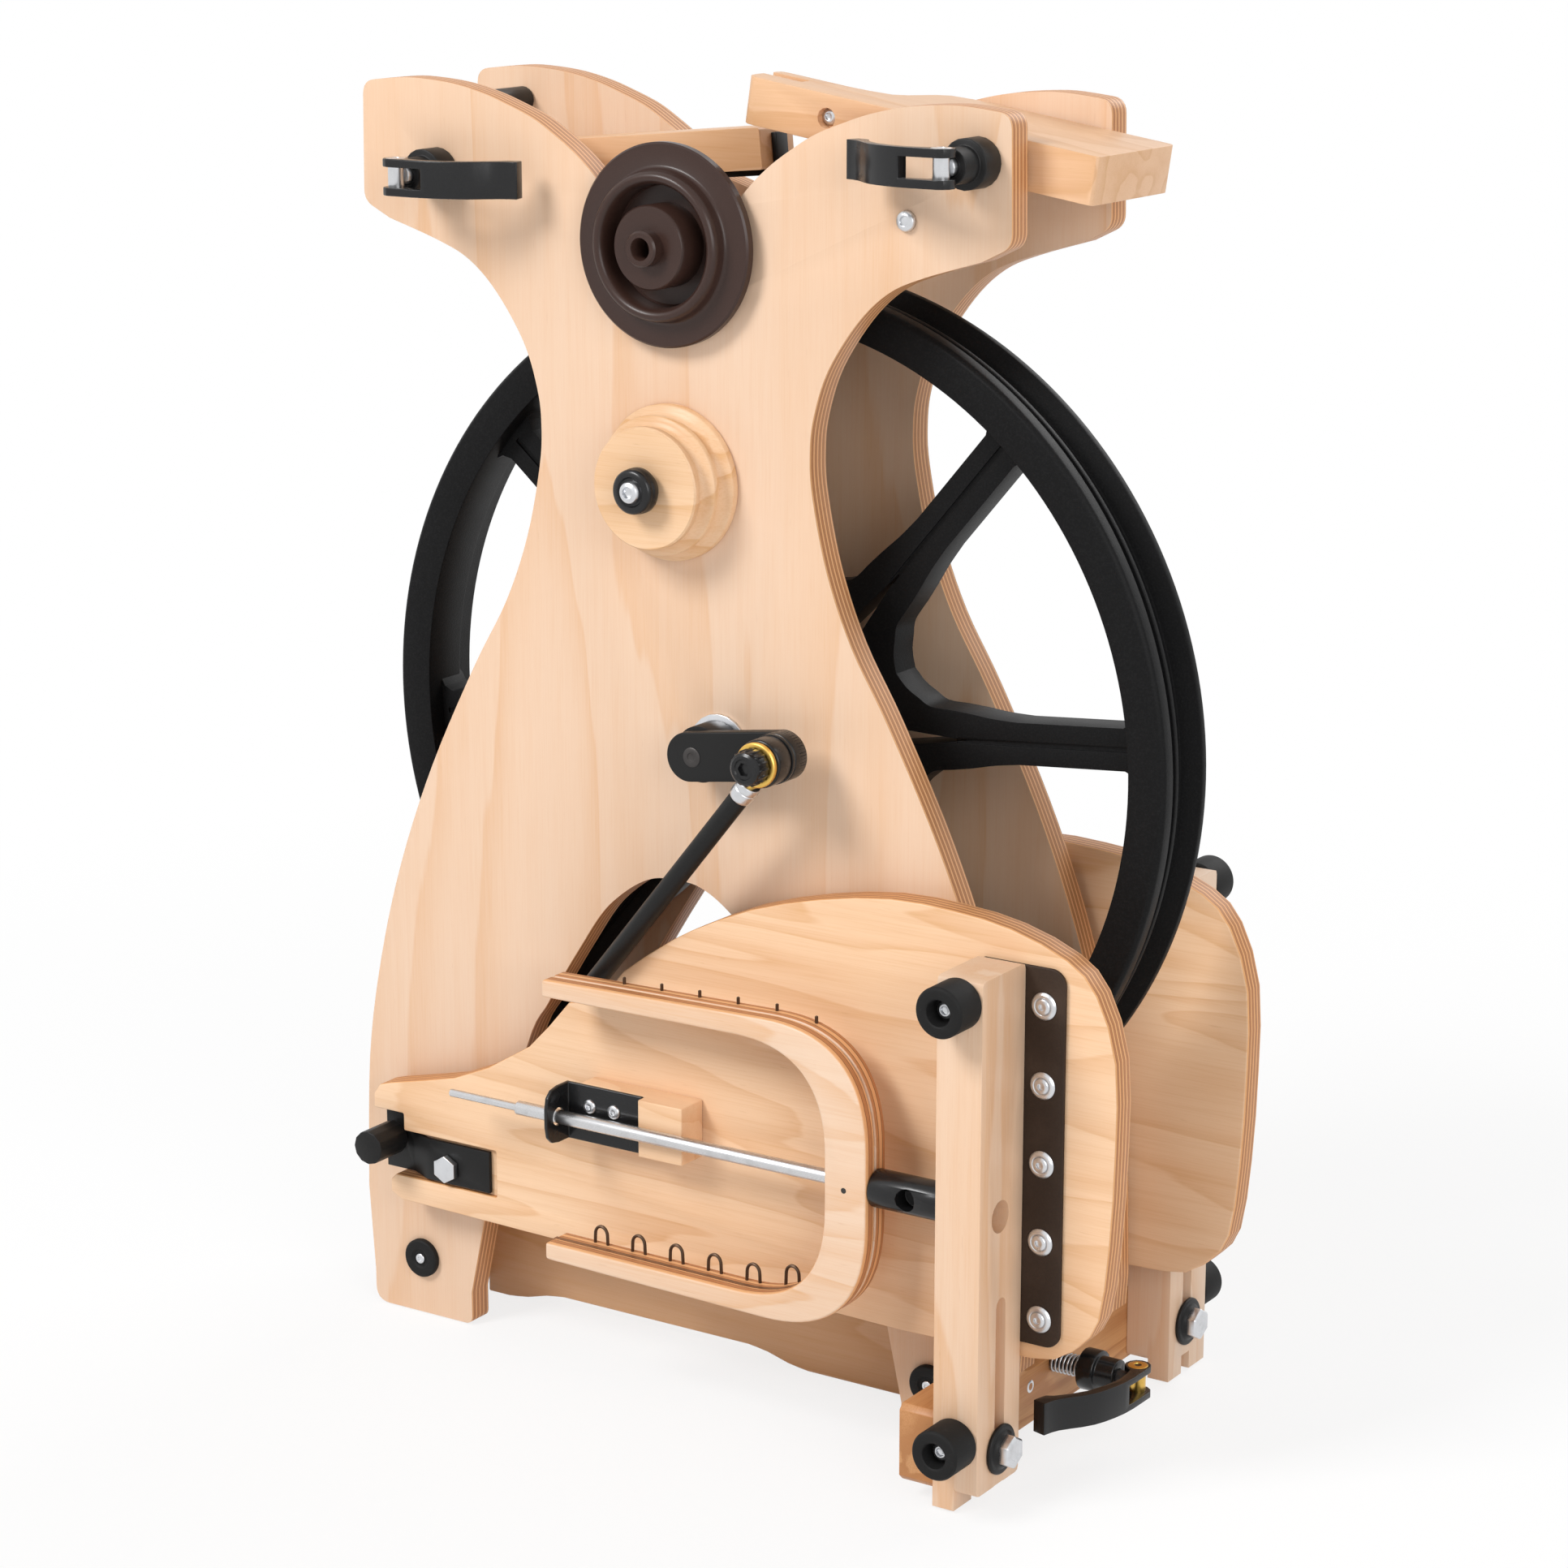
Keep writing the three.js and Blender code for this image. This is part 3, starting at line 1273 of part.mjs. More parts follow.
// The bars' notched ends are half lapped, so that both fit on the clamp rod side by side.
function barSolid(innerHalf) {
  const profile = rounded(rectangle([barFront, barBack], [treadleBar.bottom, treadleBar.top]),
    treadleBar.corner, 2);
  const body = prism('yz', profile, barLeft, barRight);
  const tongueX = innerHalf ? [barLeft, barMiddle - seatGap] : [barMiddle + seatGap, barRight];
  const tongue = box(tongueX, [barFront, barBack],
    [treadleBar.tongueEnd, treadleBar.bottom + treadleBar.corner * 2]);
  const notchHalf = treadleBar.notchWidth / 2;
  const bolt = [boltY, treadleBar.boltZ];
  const slotHalf = treadleBar.slotWidth / 2;
  const slotOutline = [];
  for (let i = 0; i <= 6; i += 1) {
    const angle = Math.PI + (i / 6) * Math.PI;
    slotOutline.push([bolt[0] + slotHalf * Math.cos(angle), bolt[1] + slotHalf * Math.sin(angle)]);
  }
  for (let i = 0; i <= 6; i += 1) {
    const angle = (i / 6) * Math.PI;
    slotOutline.push([bolt[0] + slotHalf * Math.cos(angle),
      bolt[1] + treadleBar.slotLength + slotHalf * Math.sin(angle)]);
  }
  return cut(
    join(body, tongue),
    box([barLeft - overrun, barRight + overrun], [boltY - notchHalf, boltY + notchHalf],
      [-overrun, treadleBar.tongueEnd + treadleBar.notchDepth]),
    prism('yz', slotOutline, barLeft - overrun, barRight + overrun),
    disc([0, flyerY, treadleBar.orificeZ], axes.x, treadleBar.orificeRadius,
      barLeft - overrun, barRight + overrun, sides.medium),
  );
}

function pivotBoltSolid() {
  const centre = [0, boltY, treadleBar.boltZ];
  const washer = barRight + seatGap;
  const collar = washer + pivotBolt.washerDepth;
  const head = collar + pivotBolt.collarDepth;
  return join(
    disc(centre, axes.x, pivotBolt.radius, beam.outer + seatGap, head, sides.small),
    disc(centre, axes.x, pivotBolt.washer, washer, collar),
    disc(centre, axes.x, pivotBolt.collar, collar - seatGap, head + seatGap),
    disc(centre, axes.x, pivotBolt.head, head, head + pivotBolt.headDepth, 6),
  );
}

function rubberFootSolid(z) {
  const centre = [barMiddle, barFront - seatGap, z];
  const out = new THREE.Vector3(0, -1, 0);
  const depth = rubberFoot.depth;
  const floor = depth - rubberFoot.boreDepth;
  return turned([[0, 0], [rubberFoot.radius, 0], [rubberFoot.radius, depth - 1],
    [rubberFoot.radius - 1, depth], [rubberFoot.bore, depth], [rubberFoot.bore, floor],
    [stripScrew.head, floor], [stripScrew.head * 0.7, floor + 1], [0, floor + 1]],
  centre, out, sides.medium);
}

function boardPoints(shares) {
  const width = board.right - board.left;
  const height = board.top - board.bottom;
  return shares.map(([across, high]) => [board.left + across * width,
    board.bottom + high * height]);
}

function boardSolid() {
  const pocket = toePocket;
  const finger = toeFinger;
  const top = boardPoints(boardShares);
  const rodSide = boardPoints(boardRodShares);
  const toe = boardPoints(boardToeShares);
  const edge = [
    [finger.left + finger.corner, finger.bottom],
    ...smooth(top, 2), ...rodSide, ...toe,
    [board.left, pocket.top + finger.corner],
    [board.left + finger.corner, pocket.top],
    [toeBolt.x - toeBolt.nut * 1.6, pocket.top],
    [toeBolt.x - toeBolt.nut * 1.6, pocket.bottom],
    [finger.left + finger.corner / 2, pocket.bottom],
    [finger.left, pocket.bottom - finger.corner / 2],
    [finger.left, finger.bottom + finger.corner / 2],
  ];
  const plate = prism('xz', edge, boardFront, boardBack);
  const lap = box([board.left - overrun, pocket.right], [boardFront - overrun,
    boardFront + pocket.depth], [pocket.bottom, pocket.top]);
  const hornLap = box([board.left - overrun, toeStrap.left + toeStrap.horn + woodGap],
    [boardFront - overrun, boardFront + pocket.depth + toeStrap.step],
    [pocket.bottom, toeStrap.hornTop + woodGap]);
  const boltHole = disc([toeBolt.x, boardFront, toeBolt.z], axes.y, toeBolt.radius + seatGap,
    -overrun, board.thickness + overrun, sides.small);
  return cut(plate, lap, hornLap, boltHole);
}

function hingeStripSolid() {
  const strip = hingeStrip;
  const face = boardFront - seatGap;
  const outline = rounded(rectangle([strip.left, strip.right], [strip.bottom, strip.top]),
    [0, strip.corner, strip.corner, 0], 3);
  const screws = [];
  for (let i = 0; i < stripScrew.count; i += 1) {
    const z = stripScrew.first + (stripScrew.last - stripScrew.first) * (i / (stripScrew.count - 1));
    const profile = [[0, -seatGap], [stripScrew.cup, -seatGap], [stripScrew.cup * 0.8,
      stripScrew.cupDepth], [stripScrew.head, stripScrew.cupDepth * 0.6],
    [stripScrew.head * 0.6, stripScrew.cupDepth], [0, stripScrew.cupDepth]];
    screws.push(turned(profile, [stripScrew.x, face - strip.thickness, z],
      new THREE.Vector3(0, -1, 0), 10));
  }
  return join(prism('xz', outline, face - strip.thickness, face), ...screws);
}

// The strap lies in the board's pocket and steps back to the board's rear half at the toe.
function toeStrapSolid() {
  const s = toeStrap;
  const floor = boardFront + toePocket.depth - seatGap;
  const thick = s.thickness;
  const step = s.step;
  const plan = [
    [s.right, floor - thick], [s.right, floor], [s.joggle, floor],
    [s.joggle - s.joggleRun, floor + step], [s.left, floor + step],
    [s.left, floor + step - thick], [s.joggle - s.joggleRun, floor + step - thick],
    [s.joggle, floor - thick],
  ];
  const lower = prism('xy', plan, s.bottom + seatGap, s.top);
  const hornPlan = plan.map(([x, y]) => [x, y]);
  const horn = prism('xy', hornPlan, s.top - 1, s.hornTop);
  const keep = box([s.left - overrun, s.left + s.horn],
    [boardFront - board.thickness, boardBack + board.thickness], [s.bottom, s.hornTop + overrun]);
  const hornPiece = horn.intersect(keep);
  return cut(
    join(lower, hornPiece),
    disc([toeBolt.x, boardFront, toeBolt.z], axes.y, toeBolt.radius + seatGap,
      -board.thickness, board.thickness, sides.small),
    disc([toeKnob.x, boardFront, toeKnob.z], axes.y, toeBolt.radius + seatGap,
      -board.thickness, board.thickness, sides.small),
  );
}

function toeBoltSolid() {
  const floor = boardFront + toePocket.depth - seatGap - toeStrap.thickness - seatGap;
  const centre = [toeBolt.x, 0, toeBolt.z];
  return join(
    disc(centre, axes.y, toeBolt.radius, floor, boardBack + seatGap, sides.small),
    disc(centre, axes.y, toeBolt.nut, floor - toeBolt.nutDepth, floor, 6),
    disc(centre, axes.y, toeBolt.backRadius, boardBack + seatGap,
      boardBack + seatGap + toeBolt.back, sides.medium),
  );
}

function toeKnobSolid() {
  const floor = boardFront + toePocket.depth - seatGap - toeStrap.thickness + toeStrap.step - seatGap;
  const centre = [toeKnob.x, 0, toeKnob.z];
  return join(
    disc(centre, axes.y, toeBolt.radius, floor - overrun, floor + toeStrap.thickness,
      sides.small),
    disc(centre, axes.y, toeKnob.neck, floor - toeKnob.neckDepth, floor, sides.small),
    disc(centre, axes.y, toeKnob.radius, floor - toeKnob.depth, floor - toeKnob.neckDepth / 2,
      sides.small),
  );
}

function treadleSolids(innerHalf) {
  return {
    pivot_bolt: [pivotBoltSolid(), finish.steel],
    bar: [barSolid(innerHalf), finish.maple],
    upper_foot: [rubberFootSolid(rubberFoot.topZ), finish.rubber],
    lower_foot: [rubberFootSolid(rubberFoot.bottomZ), finish.rubber],
    board: [boardSolid(), finish.maple],
    hinge_strip: [hingeStripSolid(), finish.leather],
    toe_strap: [toeStrapSolid(), finish.blackPlastic],
    toe_bolt: [toeBoltSolid(), finish.steel],
    toe_knob: [toeKnobSolid(), finish.blackPlastic],
  };
}

function buildTreadle(name, rear) {
  const group = assembly(`${name}_treadle`);
  for (const [piece, [solid, look]] of Object.entries(treadleSolids(!rear))) {
    place(group, `${name}_${piece}`, rear ? mirrored(solid) : solid, look);
  }
}

// The stored flyer.

function buildStore(group) {
  const b = storeBlock;
  const face = boardFront - seatGap;
  const plan = [[b.left, face], [b.left, face - b.low], [b.step, face - b.low],
    [b.step, face - b.depth], [b.right, face - b.depth], [b.right, face]];
  place(group, 'storage_block', prism('xy', plan.reverse(), b.bottom, b.top), finish.wood);

  const s = storeBracket;
  const back = face - b.low - seatGap;
  const plate = box([s.flangeX, b.step - seatGap * 2], [back - s.thickness, back],
    [b.bottom, b.top]);
  const flangeOutline = rounded(rectangle([face - s.reach, back], [b.bottom, b.top]),
    [s.corner, 0, 0, s.corner], 3);
  const flange = prism('yz', flangeOutline, s.flangeX - s.thickness, s.flangeX);
  const web = box([s.flangeX - s.thickness, b.left - seatGap], [back - seatGap, back],
    [b.bottom, b.top]);
  const bracket = cut(join(plate, flange, web), disc([0, flyerY, flyer.z], axes.x, s.hole,
    s.flangeX - s.thickness - overrun, s.flangeX + overrun, sides.small));
  place(group, 'shaft_bracket', bracket, finish.blackPlastic);
}

// The yoke's outer outline, from a chosen left end and drawn in by so much.
function yokeOutline(left, drawnIn) {
  const f = flyer;
  return rounded([
    [left, f.z - f.tipOuter + drawnIn],
    [f.bendRight - drawnIn, f.z - f.bendOuter + drawnIn],
    [f.bendRight - drawnIn, f.z + f.bendOuter - drawnIn],
    [left, f.z + f.tipOuter - drawnIn],
  ], [f.armBevel, f.corner - drawnIn, f.corner - drawnIn, f.armBevel], 6);
}

function flyerYokeSolid() {
  const f = flyer;
  const outer = yokeOutline(f.armLeft, 0);
  const inner = rounded([
    [f.armLeft - overrun, f.z - f.tipInner],
    [f.bendRight - f.spineWidth, f.z - f.bendInner],
    [f.bendRight - f.spineWidth, f.z + f.bendInner],
    [f.armLeft - overrun, f.z + f.tipInner],
  ], [0, f.innerCorner, f.innerCorner, 0], 6);
  const low = flyerY - f.depth / 2 - f.depthOffset;
  const high = low + f.depth;
  const solid = cut(prism('xz', outer, low, high), prism('xz', inner, low - overrun,
    high + overrun));
  // The groove between the front and the back layer runs round the outside of the yoke.
  const core = yokeOutline(f.armLeft - overrun, f.grooveDepth);
  const grooveLow = low + f.layer;
  const grooveHigh = grooveLow + f.groove;
  const wide = overrun * 10;
  const block = box([f.armLeft - wide, f.bendRight + wide], [grooveLow, grooveHigh],
    [f.z - f.bendOuter - wide, f.z + f.bendOuter + wide]);
  const groove = cut(block, prism('xz', core, grooveLow - overrun, grooveHigh + overrun));
  const shaftHole = disc([0, flyerY, f.z], axes.x, f.shaftRadius - seatGap,
    f.bendRight - f.spineWidth - overrun, f.bendRight + overrun, sides.small);
  const hookSolids = [];
  for (let i = 0; i < hooks.count; i += 1) {
    const share = i / (hooks.count - 1);
    const lowerX = hooks.first + (hooks.last - hooks.first) * share;
    const upperX = hooks.upperFirst + (hooks.upperLast - hooks.upperFirst) * share;
    hookSolids.push(
      lowerHook(lowerX, lowestAt(inner, lowerX), high),
      upperHook(upperX, heightAt(outer, upperX), high),
    );
  }
  return cut(join(cut(solid, groove), ...hookSolids), shaftHole);
}

function lowerHook(x, base, back) {
  const y = back - hooks.wire * 4;
  const half = hooks.width / 2;
  const top = base + hooks.height;
  return tube([
    [x - half, y, base - hooks.sink], [x - half, y, base + hooks.height * 0.5],
    [x - half * 0.6, y, top - half * 0.35], [x, y, top], [x + half * 0.6, y, top - half * 0.35],
    [x + half, y, base + hooks.height * 0.5], [x + half, y, base - hooks.sink],
  ], hooks.wire, 14, 6);
}

function upperHook(x, base, back) {
  const y = back - hooks.wire * 4;
  return tube([[x, y, base - hooks.sink], [x, y, base], [x, y, base + hooks.stub]],
    hooks.wire, 2, 6);
}

function buildFlyer(group) {
  const f = flyer;
  place(group, 'flyer_yoke', flyerYokeSolid(), finish.wood);
  const spineInner = f.bendRight - f.spineWidth;
  const shaft = join(
    disc([0, flyerY, f.z], axes.x, f.shaftRadius, f.shaftLeft, spineInner - seatGap),
    disc([0, flyerY, f.z], axes.x, f.tipRadius, f.tipLeft, f.shaftLeft + overrun, sides.small),
    disc([0, flyerY, f.z], axes.x, f.shaftRadius - seatGap * 3, spineInner - overrun,
      f.bendRight - seatGap, sides.small),
  );
  place(group, 'flyer_shaft', shaft, finish.steel);
  const o = orifice;
  const tubeSolid = cut(
    join(
      disc([0, flyerY, f.z], axes.x, o.radius, o.start, o.end),
      disc([0, flyerY, f.z], axes.x, o.neck, o.end - overrun, o.neckEnd, sides.small),
    ),
    disc([o.holeX, flyerY, f.z], new THREE.Vector3(0, -1, 0), o.hole, 0, o.radius + overrun,
      sides.small),
  );
  place(group, 'orifice_tube', tubeSolid, finish.blackPlastic);
}

// The whole object.

buildFrame(assembly('frame'));
buildWheel(assembly('wheel'));
for (const [name, side] of [['front', -1], ['rear', 1]]) {
  place(assembly(`${name}_footman_group`), `${name}_footman`, footmanSolid(side),
    finish.blackPlastic);
}
buildRelease(assembly('left_release'), 'left', leftRelease);
buildRelease(assembly('right_release'), 'right', rightRelease);
place(assembly('left_lever'), 'left_release_lever', releaseLever(leftRelease),
  finish.blackPlastic);
place(assembly('right_lever'), 'right_release_lever', releaseLever(rightRelease),
  finish.blackPlastic);
place(assembly('front_maiden_group'), 'front_maiden', frontArmSolid(), finish.wood);
const rearMaidenGroup = assembly('rear_maiden_group');
place(rearMaidenGroup, 'rear_maiden', rearArmSolid(), finish.wood);
place(rearMaidenGroup, 'rear_maiden_bracket', rearBracketSolid(), finish.blackPlastic);
buildBrownWhorl(assembly('peg'), assembly('brown_whorl_group'));
buildWoodWhorl(assembly('wood_whorl_group'), assembly('knob_group'));
buildClamp(assembly('clamp_group'), assembly('clamp_lever_group'));
buildTreadle('front', false);
buildTreadle('rear', true);
buildStore(assembly('store'));
buildFlyer(assembly('flyer'));

export default wheelObject;
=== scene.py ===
"""Looks of a folded travel spinning wheel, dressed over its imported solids.

Sizes below are millimetres, measured as in the part's source: x = 0 at the drive wheel's
axle, y = 0 midway between the panels, z = 0 on the floor. A profile lists radius and distance
along the axis, an outline lists x and z.
"""

from __future__ import annotations

import json
import logging
import math
from dataclasses import dataclass
from enum import Enum
from typing import Callable, Sequence

import bmesh
import bpy
from mathutils import Matrix, Vector


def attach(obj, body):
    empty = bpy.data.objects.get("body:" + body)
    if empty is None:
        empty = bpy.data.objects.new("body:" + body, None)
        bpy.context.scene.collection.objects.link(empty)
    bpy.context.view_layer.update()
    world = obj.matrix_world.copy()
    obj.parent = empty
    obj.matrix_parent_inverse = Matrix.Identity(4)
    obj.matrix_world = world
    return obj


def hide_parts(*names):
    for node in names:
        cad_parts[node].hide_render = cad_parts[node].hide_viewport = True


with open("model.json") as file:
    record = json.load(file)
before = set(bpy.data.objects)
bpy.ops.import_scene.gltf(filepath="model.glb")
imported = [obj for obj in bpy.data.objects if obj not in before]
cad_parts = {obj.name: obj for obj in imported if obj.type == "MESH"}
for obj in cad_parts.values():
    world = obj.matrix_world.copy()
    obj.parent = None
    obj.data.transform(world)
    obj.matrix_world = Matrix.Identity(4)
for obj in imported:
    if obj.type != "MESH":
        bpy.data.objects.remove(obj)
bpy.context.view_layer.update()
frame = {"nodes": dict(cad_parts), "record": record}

LOG = logging.getLogger("spinning_wheel")
MM = 0.001
ORIGIN_SHIFT = -2.4
AXLE_Z = 300.0
PIVOT_Z = 25.0
SHEET = 12.7
RELEASES = (("left", -148.0, 541.0), ("right", 127.0, 559.0))
Point = Sequence[float]
Colour = tuple[float, float, float]


def at(x: float, y: float, z: float) -> Vector:
    """Gives a place in metres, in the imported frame.

    Args:
        x: Distance from the axle, in millimetres.
        y: Distance from the middle plane, in millimetres.
        z: Height over the floor, in millimetres.

    Returns:
        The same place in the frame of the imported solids.
    """
    return Vector(((x + ORIGIN_SHIFT) * MM, y * MM, z * MM))


class Axis(Enum):
    """The direction that a grain, a stack of plies or a turned piece follows."""

    X = 0
    Y = 1
    Z = 2

    @property
    def unit(self) -> Vector:
        """The axis as a unit vector."""
        return Vector([1.0 if i == self.value else 0.0 for i in range(3)])


class Side(Enum):
    """The front treadle and panel stand at -Y, the rear ones at +Y."""

    FRONT = -1
    REAR = 1

    @property
    def word(self) -> str:
        """The word that starts the names of this side's nodes."""
        return self.name.lower()

    @property
    def out(self) -> Vector:
        """Direction away from the middle plane."""
        return Vector((0, self.value, 0))


# Shader maths


class Wire:
    """One output socket of a material, with arithmetic that adds Math nodes."""

    def __init__(self, shader: "Shader", socket: bpy.types.NodeSocket) -> None:
        """Keeps the socket and the shader that it belongs to."""
        self.shader = shader
        self.socket = socket

    def _math(self, operation: str, *others: "Wire | float") -> "Wire":
        """Adds one Math node on this value and others.

        Args:
            operation: Name of the Math node's operation.
            others: Its further inputs, as wires or numbers.

        Returns:
            The node's result.
        """
        values = {i: value for i, value in enumerate((self, *others))}
        return self.shader.node("ShaderNodeMath", {"operation": operation}, values)

    def __add__(self, other: "Wire | float") -> "Wire":
        """Sum."""
        return self._math("ADD", other)

    __radd__ = __add__

    def __mul__(self, other: "Wire | float") -> "Wire":
        """Product."""
        return self._math("MULTIPLY", other)

    def __sub__(self, other: "Wire | float") -> "Wire":
        """Difference."""
        return self._math("SUBTRACT", other)

    def __rsub__(self, other: float) -> "Wire":
        """Difference from a number."""
        return self._math("MULTIPLY", -1.0)._math("ADD", other)

    def __abs__(self) -> "Wire":
        """Size without sign."""
        return self._math("ABSOLUTE")

    def fraction(self) -> "Wire":
        """The part after the decimal point."""
        return self._math("FRACT")

    def power(self, exponent: float) -> "Wire":
        """The value to a power."""
        return self._math("POWER", exponent)

    def step(self, low: float, high: float) -> "Wire":
        """Rises smoothly from 0 at one value to 1 at another.

        Args:
            low: Value at which the result is 0.
            high: Value at which the result is 1.

        Returns:
            The smoothed step, from 0 to 1.
        """
        settings = {"interpolation_type": "SMOOTHSTEP", "clamp": True}
        return self.shader.node("ShaderNodeMapRange", settings, {0: self, 1: low, 2: high})


class Shader:
    """A material under construction: its nodes, its surface and its object coordinates."""

    def __init__(self, name: str) -> None:
        """Makes the material and finds its surface node.

        Args:
            name: Name of the material.
        """
        self.material = bpy.data.materials.new(name)
        self.material.use_nodes = True
        self.tree = self.material.node_tree
        self.surface = self.tree.nodes["Principled BSDF"]
        coordinates = self.tree.nodes.new("ShaderNodeTexCoord")
        self.place = Wire(self, coordinates.outputs["Object"])
        self.facing = Wire(self, coordinates.outputs["Normal"])

    def node(self, kind: str, settings: dict, values: dict, output: int | str = 0) -> Wire:
        """Adds any node.

        Args:
            kind: The node's type.
            settings: Properties that are set before its inputs.
            values: Inputs by name or number, as wires or plain values.
            output: Which output to give back.

        Returns:
            The chosen output.
        """
        made = self.tree.nodes.new(kind)
        for key, value in settings.items():
            setattr(made, key, value)
        for key, value in values.items():
            if isinstance(value, Wire):
                self.tree.links.new(value.socket, made.inputs[key])
            else:
                made.inputs[key].default_value = value
        return Wire(self, made.outputs[output])

    def part(self, vector: Wire, axis: Axis) -> Wire:
        """Takes one part of a vector."""
        return self.node("ShaderNodeSeparateXYZ", {}, {0: vector}, axis.value)

    def stretched(self, scale: Point, turn: Point = (0.0, 0.0, 0.0)) -> Wire:
        """Object coordinates, turned and then scaled axis by axis."""
        return self.node("ShaderNodeMapping", {"vector_type": "POINT"},
                         {"Vector": self.place, "Scale": scale, "Rotation": turn})

    def noise(self, vector: Wire, scale: float, detail: float = 3.0, rough: float = 0.5,
              warp: float = 0.0) -> Wire:
        """A soft random pattern from 0 to 1.

        Args:
            vector: Coordinates it is read at.
            scale: How fine it is, in turns a metre.
            detail: How many finer layers it has.
            rough: How strong the finer layers are.
            warp: How far it is bent by itself.

        Returns:
            The pattern's value.
        """
        return self.node("ShaderNodeTexNoise", {}, {
            "Vector": vector, "Scale": scale, "Detail": detail, "Roughness": rough,
            "Distortion": warp})

    def blend(self, mask: Wire, low: "Wire | Colour", high: "Wire | Colour") -> Wire:
        """Mixes two colours.

        Args:
            mask: Share of the second colour, from 0 to 1.
            low: The colour where the mask is 0.
            high: The colour where the mask is 1.

        Returns:
            The mixed colour.
        """
        def full(colour: "Wire | Colour") -> "Wire | tuple":
            """Adds the fourth number that a colour input needs."""
            return colour if isinstance(colour, Wire) else (*colour, 1.0)
        return self.node("ShaderNodeMix", {"data_type": "RGBA"},
                         {0: mask, 6: full(low), 7: full(high)}, 2)

    def paint(self, **inputs: "Wire | float | Colour") -> None:
        """Sets or links inputs of the surface.

        Args:
            inputs: Values by the inputs' names, with underscores for spaces.
        """
        for name, value in inputs.items():
            socket = self.surface.inputs[name.replace("_", " ")]
            if isinstance(value, Wire):
                self.tree.links.new(value.socket, socket)
            elif isinstance(value, tuple):
                socket.default_value = (*value, 1.0)
            else:
                socket.default_value = value

    def bump(self, height: Wire, depth_mm: float, strength: float = 1.0) -> None:
        """Raises the surface by a pattern.

        Args:
            height: The pattern, from 0 to 1.
            depth_mm: Depth of the relief.
            strength: Share of the relief that is used.
        """
        self.paint(Normal=self.node("ShaderNodeBump", {}, {
            "Height": height, "Distance": depth_mm * MM, "Strength": strength}, "Normal"))


# Finishes


def toned(colour: Colour, shares: Sequence[float], more: float = 0.0) -> Colour:
    """Takes a share of each part of a colour, and adds the same to all of them."""
    return tuple(value * share + more for value, share in zip(colour, shares))


@dataclass(frozen=True)
class Ply:
    """A stack of veneers, seen on a sheet's edges."""

    axis: Axis
    low: float
    high: float
    layers: int


